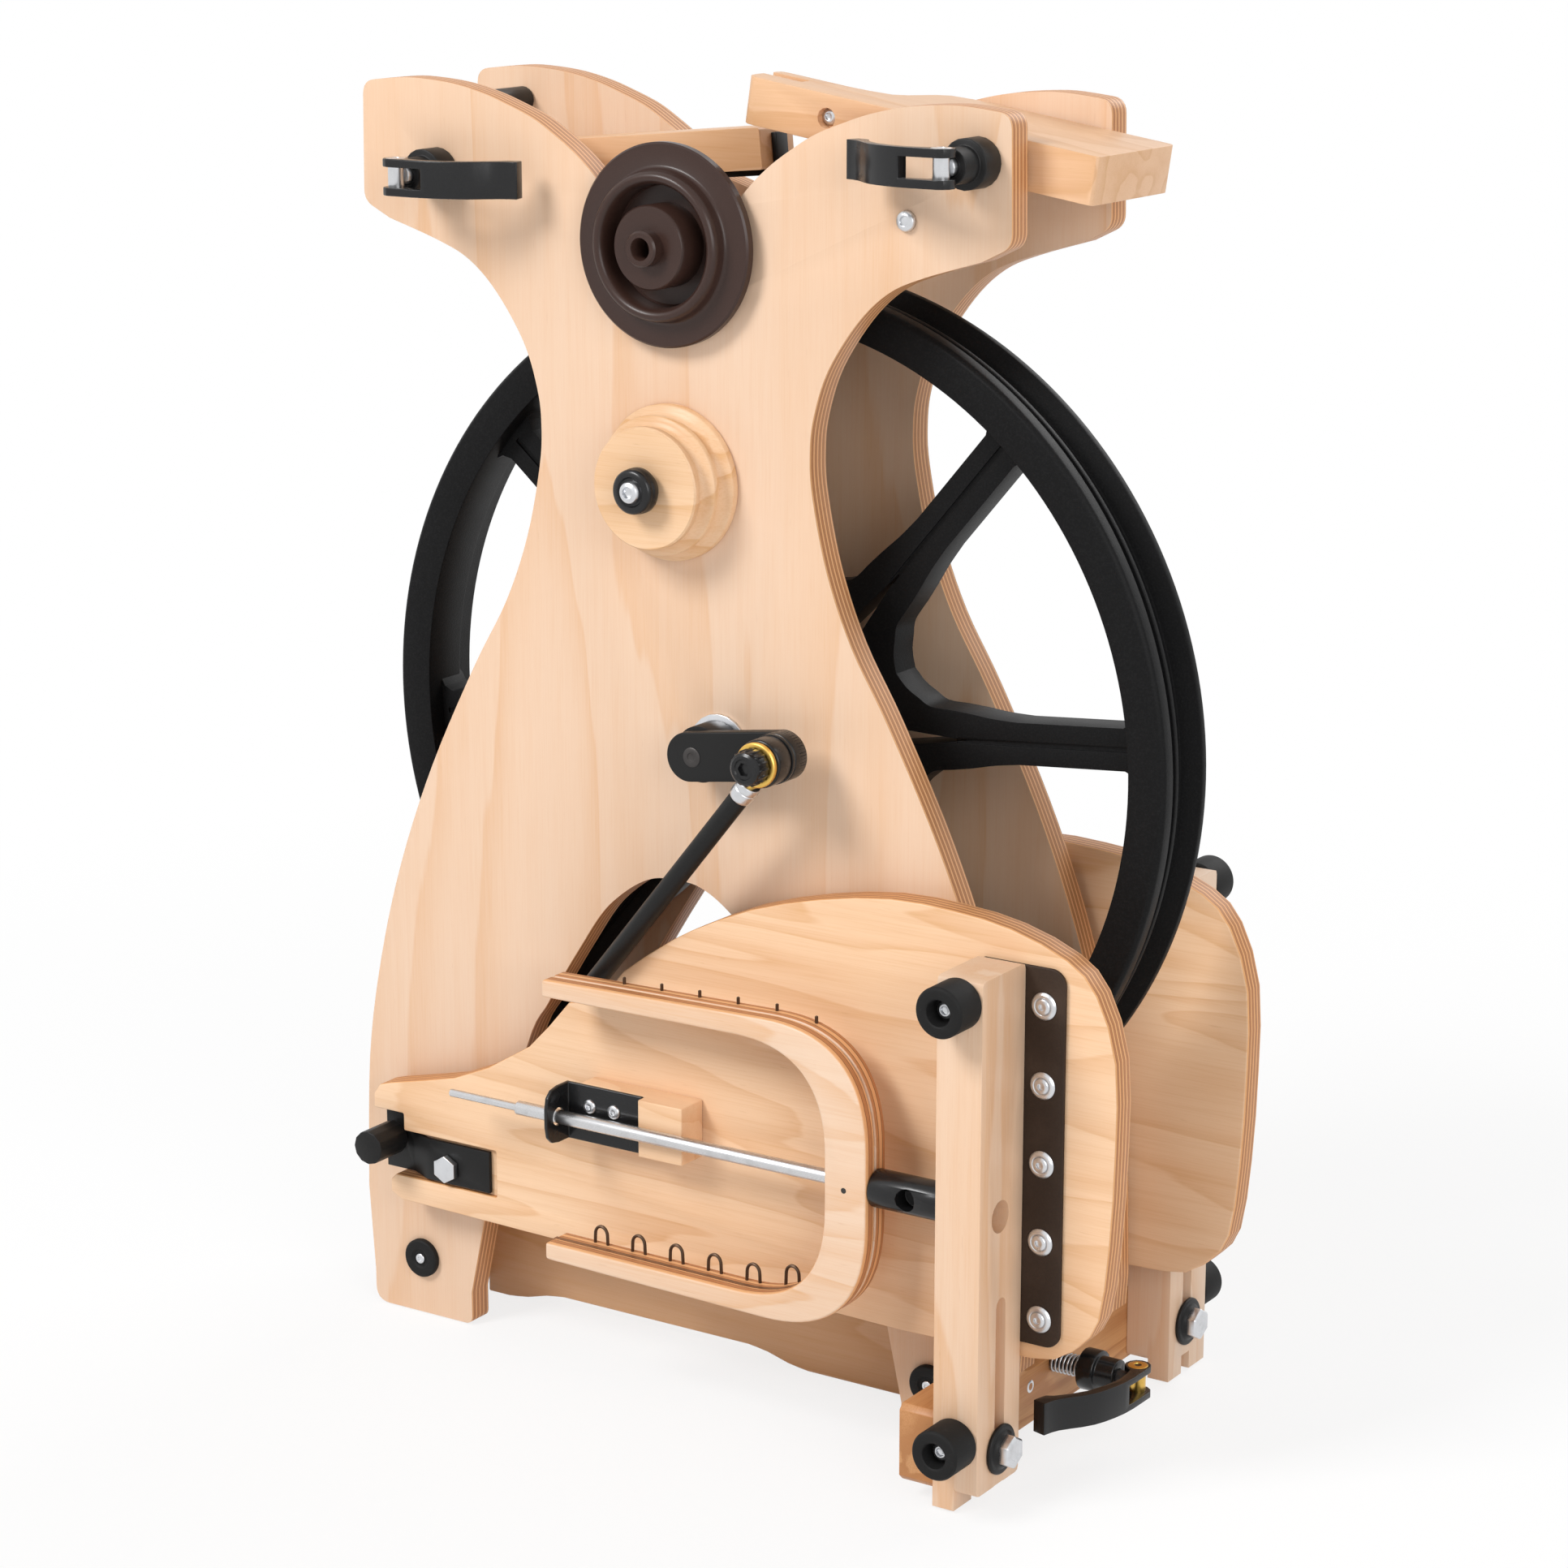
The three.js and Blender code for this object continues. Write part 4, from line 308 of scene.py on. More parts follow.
@dataclass(frozen=True)
class Wood:
    """Varnished wood or plywood with a fine, mostly straight grain."""

    name: str
    pale: Colour
    warm: Colour
    grain: Axis
    figure: float = 0.5
    ply: Ply | None = None
    lean: float = 0.0
    rings: float = 9.0
    spread: float = 16.0
    coat: float = 0.12

    def material(self) -> bpy.types.Material:
        """Makes the material.

        Returns:
            Wood with growth lines, fibres, flecks and, on a sheet, ply edges.
        """
        shader = Shader(self.name)
        along = self.grain.value
        turn = (0.0, self.lean, 0.0)

        def grained(share: float) -> Wire:
            """Coordinates that run slower along the grain."""
            return shader.stretched([share if i == along else 1.0 for i in range(3)], turn)

        figure = shader.noise(grained(0.17), self.spread, 2.0, 0.4, 0.4)
        cloud = shader.noise(grained(0.4), self.spread * 0.55, 3.0, 0.55)
        ripple = shader.noise(grained(0.08), 120.0, 2.0, 0.5)
        saw = (figure * self.rings + ripple * 0.35).fraction()
        rings = saw.power(2.6) * (1.0 - saw.step(0.93, 1.0))
        fibres = shader.noise(grained(0.02), 1500.0, 3.0, 0.65)
        streaks = shader.noise(grained(0.03), 260.0, 3.0, 0.6)
        flecks = shader.noise(grained(0.11), 750.0, 2.0, 0.5)
        tone = (cloud.step(0.32, 0.72) * 0.5 + rings + streaks.step(0.4, 0.75) * 0.3
                + fibres.step(0.42, 0.72) * 0.35) * self.figure
        colour = shader.blend(tone, self.pale, self.warm)
        dark = toned(self.warm, (0.62, 0.48, 0.36))
        colour = shader.blend(flecks.step(0.68, 0.8) * 0.3 * self.figure, colour, dark)
        relief = fibres * 0.6 + flecks * 0.4
        rough = 0.36 + cloud * 0.16
        if self.ply:
            colour, relief, rough = self._edges(shader, colour, relief, rough)
        shader.paint(Base_Color=colour, Roughness=rough, Coat_Weight=self.coat,
                     Coat_Roughness=0.25, Specular_IOR_Level=0.35)
        shader.bump(relief, 0.04, 0.6)
        return shader.material

    def _edges(self, shader: Shader, colour: Wire, relief: Wire, rough: Wire
               ) -> tuple[Wire, Wire, Wire]:
        """Adds the veneers' lines to the sheet's edges.

        Args:
            shader: The material under construction.
            colour: Colour of the faces.
            relief: Relief of the faces.
            rough: Roughness of the faces.

        Returns:
            Colour, relief and roughness with the edges in.
        """
        ply = self.ply
        depth = shader.part(shader.place, ply.axis)
        wobble = shader.noise(shader.stretched((9.0, 9.0, 9.0)), 4.0, 2.0) * (0.16 * MM)
        count = (depth + wobble - (ply.low * MM)) * (ply.layers / ((ply.high - ply.low) * MM))
        glue = abs(count.fraction() - 0.5).step(0.38, 0.47)
        cross_ply = (count * 0.5).fraction().step(0.47, 0.53)
        streaks = shader.noise(shader.stretched(
            [500.0 if i == ply.axis.value else 60.0 for i in range(3)]), 7.0, 4.0, 0.7)
        edge = shader.blend(cross_ply * 0.75 + streaks.step(0.35, 0.8) * 0.25,
                            toned(self.warm, (1.15, 1.12, 1.05)),
                            toned(self.warm, (0.62, 0.42, 0.3)))
        edge = shader.blend(glue * 0.85, edge, toned(self.warm, (0.22, 0.13, 0.09)))
        facing = abs(shader.part(shader.facing, ply.axis))
        is_edge = 1.0 - facing.step(0.55, 0.85)
        colour = shader.blend(is_edge, colour, edge)
        relief = relief * (1.0 - is_edge) + (streaks * 0.5 - glue * 0.5) * is_edge
        return colour, relief, rough + is_edge * 0.08


@dataclass(frozen=True)
class Plastic:
    """Moulded plastic, smooth or with a fine spark texture."""

    name: str
    colour: Colour
    rough: float = 0.4
    grain_mm: float = 0.5
    depth_mm: float = 0.02
    coat: float = 0.0
    shine: float = 0.22

    def material(self) -> bpy.types.Material:
        """Makes the material.

        Returns:
            Plastic with a fine texture and slightly uneven gloss.
        """
        shader = Shader(self.name)
        texture = shader.noise(shader.place, 1.0 / (self.grain_mm * MM), 3.0, 0.65)
        haze = shader.noise(shader.place, 35.0, 3.0, 0.6)
        lighter = toned(self.colour, [1.7] * 3, 0.004)
        colour = shader.blend(texture.step(0.4, 0.75) * 0.6 + haze * 0.2, self.colour, lighter)
        shader.paint(Base_Color=colour, Roughness=self.rough + (haze - 0.5) * 0.16,
                     Coat_Weight=self.coat, Coat_Roughness=0.12,
                     Specular_IOR_Level=self.shine)
        shader.bump(texture, self.depth_mm)
        return shader.material


@dataclass(frozen=True)
class Metal:
    """Plated or bare metal with fine scratches."""

    name: str
    colour: Colour
    rough: float = 0.22
    brushed: Axis | None = None

    def material(self) -> bpy.types.Material:
        """Makes the material.

        Returns:
            Metal whose gloss varies with its brushing and handling.
        """
        shader = Shader(self.name)
        scale = [0.03 if self.brushed and i == self.brushed.value else 1.0 for i in range(3)]
        lines = shader.noise(shader.stretched(scale), 1800.0, 3.0, 0.6)
        stains = shader.noise(shader.place, 160.0, 4.0, 0.6)
        duller = toned(self.colour, [0.72] * 3)
        colour = shader.blend(stains.step(0.45, 0.75) * 0.5, self.colour, duller)
        shader.paint(Base_Color=colour, Metallic=1.0,
                     Roughness=self.rough + lines * 0.12 + stains * 0.08)
        shader.bump(lines, 0.008, 0.5)
        return shader.material


@dataclass(frozen=True)
class Leather:
    """Dark oiled leather with a close pebbled grain."""

    name: str
    colour: Colour

    def material(self) -> bpy.types.Material:
        """Makes the material.

        Returns:
            Leather with pebbles, creases and uneven sheen.
        """
        shader = Shader(self.name)
        pebbles = shader.node("ShaderNodeTexVoronoi", {"feature": "SMOOTH_F1"},
                              {"Vector": shader.place, "Scale": 900.0})
        creases = shader.noise(shader.place, 240.0, 4.0, 0.6)
        cloud = shader.noise(shader.place, 40.0, 3.0, 0.5)
        lighter = toned(self.colour, [1.9] * 3, 0.01)
        colour = shader.blend(cloud.step(0.4, 0.8) * 0.5 + pebbles * 0.2, self.colour, lighter)
        shader.paint(Base_Color=colour, Roughness=0.5 + creases * 0.18, Specular_IOR_Level=0.25)
        shader.bump(pebbles * 0.6 + creases * 0.4, 0.12, 0.8)
        return shader.material


@dataclass(frozen=True)
class Rubber:
    """Moulded rubber, matt, with dust and small scuffs."""

    name: str
    colour: Colour

    def material(self) -> bpy.types.Material:
        """Makes the material.

        Returns:
            Matt rubber with a fine skin.
        """
        shader = Shader(self.name)
        skin = shader.noise(shader.place, 2200.0, 3.0, 0.6)
        scuffs = shader.noise(shader.stretched((1.0, 1.0, 3.0)), 260.0, 4.0, 0.7)
        lighter = toned(self.colour, [2.2] * 3, 0.006)
        colour = shader.blend(scuffs.step(0.5, 0.85) * 0.6, self.colour, lighter)
        shader.paint(Base_Color=colour, Roughness=0.55 + scuffs * 0.16, Specular_IOR_Level=0.2)
        shader.bump(skin, 0.02)
        return shader.material


PALE: Colour = (0.76, 0.55, 0.40)
WARM: Colour = (0.68, 0.38, 0.19)
GOLD: Colour = (0.84, 0.575, 0.37)
AMBER: Colour = (0.66, 0.35, 0.155)
CREAM: Colour = (0.79, 0.59, 0.44)

PANEL_FRONT, PANEL_REAR = (
    Wood(f"panel_{word}_ply", PALE, WARM, Axis.Z, 0.45, Ply(Axis.Y, low, low + SHEET, 9),
         rings=7.0, spread=11.0) for word, low in (("front", -48.0), ("rear", 35.3)))
BOARD_FRONT, BOARD_REAR = (
    Wood(f"board_{word}_ply", GOLD, AMBER, Axis.X, 0.5, Ply(Axis.Y, low, low + SHEET, 9),
         lean=0.12, rings=11.0) for word, low in (("front", -66.2), ("rear", 53.5)))
YOKE = Wood("yoke_ply", CREAM, WARM, Axis.X, 0.5, Ply(Axis.Y, -95.1, -78.9, 6))
BAR_WOOD = Wood("bar_maple", CREAM, WARM, Axis.Z, 0.45)
ARM_WOOD = Wood("maiden_maple", (0.76, 0.48, 0.29), (0.62, 0.33, 0.15), Axis.X, 0.6)
BEAM_WOOD = Wood("beam_cherry", (0.70, 0.38, 0.17), (0.46, 0.2, 0.07), Axis.Y, 0.8)
RAIL_WOOD = Wood("rail_maple", (0.76, 0.47, 0.27), AMBER, Axis.X, 0.7)
WHORL_WOOD = Wood("whorl_maple", (0.80, 0.55, 0.35), (0.66, 0.37, 0.17), Axis.X, 0.7, lean=0.7)
BLOCK_WOOD = Wood("block_maple", (0.80, 0.54, 0.34), WARM, Axis.X, 0.6)
YOKE_CORE = Wood("yoke_core", (0.22, 0.10, 0.045), (0.12, 0.05, 0.022), Axis.X, 0.6)
PEG_WOOD = Wood("peg_wood", (0.09, 0.045, 0.025), (0.05, 0.025, 0.014), Axis.Y, 0.6)
WHEEL_BLACK = Plastic("wheel_textured_black", (0.005, 0.005, 0.0053), 0.46, 0.9, 0.09, shine=0.1)
SATIN_BLACK = Plastic("satin_black", (0.006, 0.006, 0.0065), 0.26, 0.35, 0.006, 0.12, 0.3)
MATT_BLACK = Plastic("matt_black", (0.007, 0.0068, 0.0068), 0.42, 0.4, 0.015)
WHORL_BROWN = Plastic("whorl_brown", (0.032, 0.015, 0.011), 0.34, 0.3, 0.012, 0.06, 0.3)
ZINC = Metal("zinc_plate", (0.66, 0.67, 0.69), 0.2)
STEEL_ROD = Metal("bright_rod", (0.62, 0.62, 0.63), 0.18, Axis.X)
SPRING_STEEL = Metal("spring_steel", (0.5, 0.5, 0.51), 0.24)
BRASS = Metal("brass", (0.78, 0.50, 0.12), 0.22)
DARK_BRONZE = Metal("hook_wire", (0.10, 0.065, 0.045), 0.34)
BLACK_OXIDE = Metal("black_oxide", (0.075, 0.07, 0.068), 0.38)
STRAP_LEATHER = Leather("hinge_leather", (0.026, 0.014, 0.008))
FOOT_RUBBER = Rubber("foot_rubber", (0.008, 0.0078, 0.0078))

Finish = Wood | Plastic | Metal | Leather | Rubber


class Finishes:
    """Makes each finish's material once."""

    _made: dict[str, bpy.types.Material] = {}

    @classmethod
    def of(cls, finish: Finish) -> bpy.types.Material:
        """Gives a finish's material, making it the first time.

        Args:
            finish: The finish.

        Returns:
            Its material.
        """
        if finish.name not in cls._made:
            cls._made[finish.name] = finish.material()
        return cls._made[finish.name]


# Meshes


def entered(name: str, data: bpy.types.ID) -> bpy.types.Object:
    """Adds an object to the scene.

    Args:
        name: Its name.
        data: The mesh, curve, camera or lamp that it shows.

    Returns:
        The new object.
    """
    made = bpy.data.objects.new(name, data)
    bpy.context.scene.collection.objects.link(made)
    return made


def link(name: str, mesh: bpy.types.Mesh, finish: Finish) -> bpy.types.Object:
    """Puts a finished mesh into the scene.

    Args:
        name: Name of the new object.
        mesh: Its mesh, in metres, already in place.
        finish: What it is made of.

    Returns:
        The new object.
    """
    mesh.materials.clear()
    mesh.materials.append(Finishes.of(finish))
    return entered(name, mesh)


def smoothed(mesh: bpy.types.Mesh, angle: float) -> None:
    """Shades a mesh smooth but for its edges over an angle in degrees."""
    mesh.polygons.foreach_set("use_smooth", [True] * len(mesh.polygons))
    mesh.set_sharp_from_angle(angle=math.radians(angle))


def applied(piece: bpy.types.Object) -> None:
    """Turns a piece's modifiers into plain mesh.

    Args:
        piece: The piece, changed in place.
    """
    graph = bpy.context.evaluated_depsgraph_get()
    mesh = bpy.data.meshes.new_from_object(piece.evaluated_get(graph), depsgraph=graph)
    piece.modifiers.clear()
    old = piece.data
    piece.data = mesh
    bpy.data.meshes.remove(old)


def bevelled(piece: bpy.types.Object, width_mm: float, segments: int, angle: float) -> None:
    """Rounds a piece's edges and shades it.

    Args:
        piece: The piece, changed in place.
        width_mm: Width of the rounding.
        segments: Number of steps in it.
        angle: Edges under this angle, in degrees, stay as they are.
    """
    if width_mm > 0:
        modifier = piece.modifiers.new("rounding", "BEVEL")
        modifier.width = width_mm * MM
        modifier.segments = segments
        modifier.limit_method = "ANGLE"
        modifier.angle_limit = math.radians(angle)
        modifier.miter_outer = "MITER_ARC"
        applied(piece)
    smoothed(piece.data, angle + 8)


def meshed(name: str, source: bmesh.types.BMesh) -> bpy.types.Mesh:
    """Turns a bmesh into a mesh.

    Args:
        name: Name of the mesh.
        source: The bmesh, which is used up.

    Returns:
        The new mesh.
    """
    mesh = bpy.data.meshes.new(name)
    source.to_mesh(mesh)
    source.free()
    return mesh


def from_bmesh(name: str, source: bmesh.types.BMesh, finish: Finish) -> bpy.types.Object:
    """Turns a bmesh into an object with its faces pointing outwards.

    Args:
        name: Name of the new object.
        source: The bmesh, which is used up.
        finish: What it is made of.

    Returns:
        The new object.
    """
    bmesh.ops.remove_doubles(source, verts=source.verts, dist=1e-7)
    bmesh.ops.recalc_face_normals(source, faces=source.faces)
    return link(name, meshed(name, source), finish)


def arc(x: float, z: float, radius: float, start: float, sweep: float, steps: int
        ) -> list[Point]:
    """Runs points along a part of a circle.

    Args:
        x: Across to the circle's middle.
        z: Up to the circle's middle.
        radius: The circle's radius.
        start: Angle of the first point.
        sweep: Angle from the first point to the last.
        steps: Number of steps between them.

    Returns:
        The points, one more than the steps.
    """
    angles = [start + sweep * i / steps for i in range(steps + 1)]
    return [(x + radius * math.cos(a), z + radius * math.sin(a)) for a in angles]


def rounded(points: Sequence[Point], radii: Sequence[float], steps: int) -> list[Point]:
    """Rounds an outline's corners.

    Args:
        points: The corners, in millimetres.
        radii: How far the rounding reaches at each corner.
        steps: Number of steps in each rounding.

    Returns:
        The rounded outline.
    """
    result: list[Point] = []
    for i, (point, radius) in enumerate(zip(points, radii)):
        here = Vector(point)
        if radius <= 0:
            result.append(tuple(here))
            continue
        before = (Vector(points[i - 1]) - here).normalized()
        after = (Vector(points[(i + 1) % len(points)]) - here).normalized()
        back = radius / math.tan(before.angle(after) / 2)
        start, end = here + before * back, here + after * back
        for k in range(steps + 1):
            t = k / steps
            result.append(tuple(start.lerp(here, t).lerp(here.lerp(end, t), t)))
    return result


def smooth(points: Sequence[Point], steps: int) -> list[Point]:
    """Runs a smooth curve through points.

    Args:
        points: The points, in order.
        steps: Number of steps between each two.

    Returns:
        The curve's points.
    """
    result: list[Point] = []
    for i in range(len(points) - 1):
        a, b, c, d = (Vector(points[max(0, min(len(points) - 1, i + k))]) for k in range(-1, 3))
        for k in range(steps):
            t = k / steps
            result.append(tuple(0.5 * (2 * b + (c - a) * t + (2 * a - 5 * b + 4 * c - d) * t ** 2
                                       + (3 * b - a - 3 * c + d) * t ** 3)))
    result.append(tuple(points[-1]))
    return result


def slab(name: str, outline: Sequence[Point], low: float, high: float, finish: Finish,
         width_mm: float = 0.5, segments: int = 2, base: Vector | None = None
         ) -> bpy.types.Object:
    """Makes a flat piece from an outline of x and z.

    Args:
        name: Name of the new object.
        outline: Its corners, in millimetres.
        low: One face's distance along y.
        high: The other face's distance along y.
        finish: What it is made of.
        width_mm: Width of the rounding on its edges.
        segments: Number of steps in the rounding.
        base: Where the outline is measured from, in metres.

    Returns:
        The new object.
    """
    base = at(0, 0, 0) if base is None else base
    source = bmesh.new()
    face = source.faces.new([source.verts.new(base + Vector((x, low, z)) * MM)
                             for x, z in outline])
    grown = bmesh.ops.extrude_face_region(source, geom=[face])
    moved = [item for item in grown["geom"] if isinstance(item, bmesh.types.BMVert)]
    bmesh.ops.translate(source, verts=moved, vec=Vector((0, (high - low) * MM, 0)))
    piece = from_bmesh(name, source, finish)
    bevelled(piece, width_mm, segments, 28)
    return piece


def carved(piece: bpy.types.Object, tool: bpy.types.Object) -> None:
    """Cuts one piece with another.

    Args:
        piece: The piece, changed in place.
        tool: What is cut away from it, which is used up.
    """
    modifier = piece.modifiers.new("cut", "BOOLEAN")
    modifier.operation = "DIFFERENCE"
    modifier.solver = "EXACT"
    modifier.object = tool
    applied(piece)
    bpy.data.objects.remove(tool)


def plain(radius: float, low: float, high: float) -> list[Point]:
    """Profile of a cylinder between two distances along its axis."""
    return [(0, low), (radius, low), (radius, high), (0, high)]


def turned(name: str, profile: Sequence[Point], centre: Vector, out: Vector, finish: Finish,
           sides: int = 48, width_mm: float = 0.0, angle: float = 30) -> bpy.types.Object:
    """Makes a turned piece.

    Args:
        name: Name of the new object.
        profile: Points of radius and distance along the axis, in millimetres.
        centre: Start of the axis, in metres.
        out: Direction of the axis.
        finish: What it is made of.
        sides: Number of steps round it.
        width_mm: Width of the rounding on its edges.
        angle: Edges under this angle, in degrees, are not rounded.

    Returns:
        The new object.
    """
    source = bmesh.new()
    turn = Vector((0, 0, 1)).rotation_difference(out.normalized()).to_matrix()
    rings = []
    for radius, along in profile:
        if radius <= 1e-9:
            rings.append([source.verts.new(centre + turn @ Vector((0, 0, along)) * MM)])
            continue
        circle = arc(0, 0, radius, 0, 2 * math.pi * (sides - 1) / sides, sides - 1)
        rings.append([source.verts.new(centre + turn @ Vector((x, y, along)) * MM)
                      for x, y in circle])
    for low, high in zip(rings, rings[1:]):
        for i in range(sides):
            j = (i + 1) % sides
            corners = [low[i % len(low)], low[j % len(low)], high[j % len(high)],
                       high[i % len(high)]]
            unique = list(dict.fromkeys(corners))
            if len(unique) > 2:
                source.faces.new(unique)
    piece = from_bmesh(name, source, finish)
    bevelled(piece, width_mm, 2, angle)
    return piece


def tube(name: str, points: Sequence[Vector], radius_mm: float, finish: Finish
         ) -> bpy.types.Object:
    """Makes a round wire along points.

    Args:
        name: Name of the new object.
        points: The wire's middle line, in metres.
        radius_mm: The wire's radius.
        finish: What it is made of.

    Returns:
        The new object.
    """
    curve = bpy.data.curves.new(name, "CURVE")
    curve.dimensions = "3D"
    curve.bevel_depth = radius_mm * MM
    curve.bevel_resolution = 1
    curve.use_fill_caps = True
    spline = curve.splines.new("POLY")
    spline.points.add(len(points) - 1)
    for spot, place in zip(spline.points, points):
        spot.co = (*place, 1.0)
    holder = entered(name, curve)
    graph = bpy.context.evaluated_depsgraph_get()
    mesh = bpy.data.meshes.new_from_object(holder.evaluated_get(graph), depsgraph=graph)
    bpy.data.objects.remove(holder)
    bpy.data.curves.remove(curve)
    piece = link(name, mesh, finish)
    smoothed(mesh, 50)
    return piece


def joined(name: str, pieces: Sequence[bpy.types.Object]) -> bpy.types.Object:
    """Makes several pieces into one object, keeping each one's material.

    Args:
        name: Name of the new object.
        pieces: The pieces, which are used up.

    Returns:
        The new object.
    """
    source = bmesh.new()
    materials: list[bpy.types.Material] = []
    for piece in pieces:
        slots = []
        for material in piece.data.materials:
            if material not in materials:
                materials.append(material)
            slots.append(materials.index(material))
        start = len(source.faces)
        source.from_mesh(piece.data)
        source.faces.ensure_lookup_table()
        for face in source.faces[start:]:
            face.material_index = slots[min(face.material_index, len(slots) - 1)]
    mesh = meshed(name, source)
    for material in materials:
        mesh.materials.append(material)
    for piece in pieces:
        old = piece.data
        bpy.data.objects.remove(piece)
        bpy.data.meshes.remove(old)
    return entered(name, mesh)


BODY_OF = {node: body for body, nodes in frame["record"]["behaviour"]["bodies"].items()
           for node in nodes}


def dressed(node: str, finish: Finish, width_mm: float = 0.5, segments: int = 2,
            angle: float = 28) -> bpy.types.Object:
    """Replaces a solid by a copy of it with rounded edges and a finish.

    Args:
        node: Name of the solid.
        finish: What it is made of.
        width_mm: Width of the rounding on its edges.
        segments: Number of steps in the rounding.
        angle: Edges under this angle, in degrees, are not rounded.

    Returns:
        The piece that replaces the solid.
    """
    source = bmesh.new()
    source.from_mesh(frame["nodes"][node].data)
    bmesh.ops.remove_doubles(source, verts=source.verts, dist=2e-6)
    bmesh.ops.dissolve_degenerate(source, edges=source.edges, dist=2e-6)
    bmesh.ops.dissolve_limit(source, angle_limit=math.radians(0.4), verts=source.verts,
                             edges=source.edges)
    name = node + "_dressed"
    piece = link(name, meshed(name, source), finish)
    bevelled(piece, width_mm, segments, angle)
    stand_in(piece, node)
    return piece


def stand_in(piece: bpy.types.Object, *nodes: str) -> None:
    """Makes a piece ride with the solids that it replaces, and hides them.

    Args:
        piece: The piece.
        nodes: Names of the solids.
    """
    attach(piece, BODY_OF[nodes[0]])
    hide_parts(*nodes)
    LOG.info("%s stands for %s", piece.name, ", ".join(nodes))


def assembled(node: str, pieces: Sequence[bpy.types.Object]) -> None:
    """Joins pieces into the one that replaces a solid."""
    stand_in(joined(node + "_dressed", pieces), node)


def carried(piece: bpy.types.Object, body: str) -> None:
    """Makes an added piece ride on a body.

    Args:
        piece: The piece.
        body: Name of the body.
    """
    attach(piece, body)
    LOG.info("%s rides on %s", piece.name, body)


# Geometry Nodes


class Repeater:
    """Geometry Nodes trees that repeat a piece over places or round a path."""

    def __init__(self, name: str) -> None:
        """Starts a tree with a geometry output.

        Args:
            name: Name of the tree.
        """
        self.tree = bpy.data.node_groups.new(name, "GeometryNodeTree")
        self.tree.interface.new_socket("Geometry", in_out="OUTPUT",
                                       socket_type="NodeSocketGeometry")
        self.inlet = self.tree.nodes.new("NodeGroupInput")
        self.outlet = self.tree.nodes.new("NodeGroupOutput")

    def size(self, name: str, kind: str = "NodeSocketFloat") -> None:
        """Adds a named input to the tree."""
        self.tree.interface.new_socket(name, in_out="INPUT", socket_type=kind)

    def add(self, kind: str, settings: dict | None = None,
            values: dict | None = None) -> bpy.types.Node:
        """Adds a node.

        Args:
            kind: The node's type.
            settings: Properties that are set first.
            values: Inputs by name or number: numbers, sockets, or the name of a tree input.

        Returns:
            The new node.
        """
        made = self.tree.nodes.new(kind)
        for key, value in (settings or {}).items():
            setattr(made, key, value)
        for key, value in (values or {}).items():
            if isinstance(value, str):
                self.tree.links.new(self.inlet.outputs[value], made.inputs[key])
            elif isinstance(value, bpy.types.NodeSocket):
                self.tree.links.new(value, made.inputs[key])
            else:
                made.inputs[key].default_value = value
        return made

    def close(self, geometry: bpy.types.NodeSocket) -> None:
        """Ends the tree in real geometry with its finish set.

        Args:
            geometry: The geometry that it gives.
        """
        real = self.add("GeometryNodeRealizeInstances", {}, {0: geometry})
        done = self.add("GeometryNodeSetMaterial", {}, {0: real.outputs[0],
                                                        "Material": "Finish"})
        self.tree.links.new(done.outputs[0], self.outlet.inputs[0])

    def grow(self, name: str, finish: Finish, values: dict, angle: float = 35
             ) -> bpy.types.Object:
        """Runs the tree and keeps its result as a plain mesh.

        Args:
            name: Name of the new object.
            finish: What it is made of.
            values: Value of each named input.
            angle: Edges over this angle, in degrees, stay sharp.

        Returns:
            The new object.
        """
        holder = entered(name, bpy.data.meshes.new(name))
        modifier = holder.modifiers.new("repeat", "NODES")
        modifier.node_group = self.tree
        values = {**values, "Finish": Finishes.of(finish)}
        for item in self.tree.interface.items_tree:
            if item.in_out == "INPUT" and item.name in values:
                modifier[item.identifier] = values[item.name]
        applied(holder)
        smoothed(holder.data, angle)
        return holder


def points_tree() -> Repeater:
    """Makes the tree that sets a copy of a piece on each of some points.

    Returns:
        The tree.
    """
    tree = Repeater("piece_on_points")
    tree.size("Points", "NodeSocketObject")
    tree.size("Piece", "NodeSocketObject")
    tree.size("Finish", "NodeSocketMaterial")
    points = tree.add("GeometryNodeObjectInfo", {}, {"Object": "Points"})
    piece = tree.add("GeometryNodeObjectInfo", {}, {"Object": "Piece"})
    placed = tree.add("GeometryNodeInstanceOnPoints", {}, {
        "Points": points.outputs["Geometry"], "Instance": piece.outputs["Geometry"]})
    tree.close(placed.outputs[0])
    return tree


def ring_tree() -> Repeater:
    """Makes the tree that sets copies of a piece evenly round an axis along Y.

    Returns:
        The tree.
    """
    tree = Repeater("piece_round_an_axis")
    tree.size("Piece", "NodeSocketObject")
    tree.size("Count", "NodeSocketInt")
    tree.size("Step", "NodeSocketFloat")
    tree.size("Centre", "NodeSocketVector")
    tree.size("Finish", "NodeSocketMaterial")
    points = tree.add("GeometryNodePoints", {}, {"Count": "Count"})
    index = tree.add("GeometryNodeInputIndex")
    angle = tree.add("ShaderNodeMath", {"operation": "MULTIPLY"}, {0: index.outputs[0],
                                                                   1: "Step"})
    turn = tree.add("ShaderNodeCombineXYZ", {}, {"Y": angle.outputs[0]})
    piece = tree.add("GeometryNodeObjectInfo", {}, {"Object": "Piece"})
    placed = tree.add("GeometryNodeInstanceOnPoints", {}, {
        "Points": points.outputs[0], "Instance": piece.outputs["Geometry"],
        "Rotation": turn.outputs[0]})
    moved = tree.add("GeometryNodeTransform", {}, {
        "Geometry": placed.outputs[0], "Translation": "Centre"})
    tree.close(moved.outputs[0])
    return tree


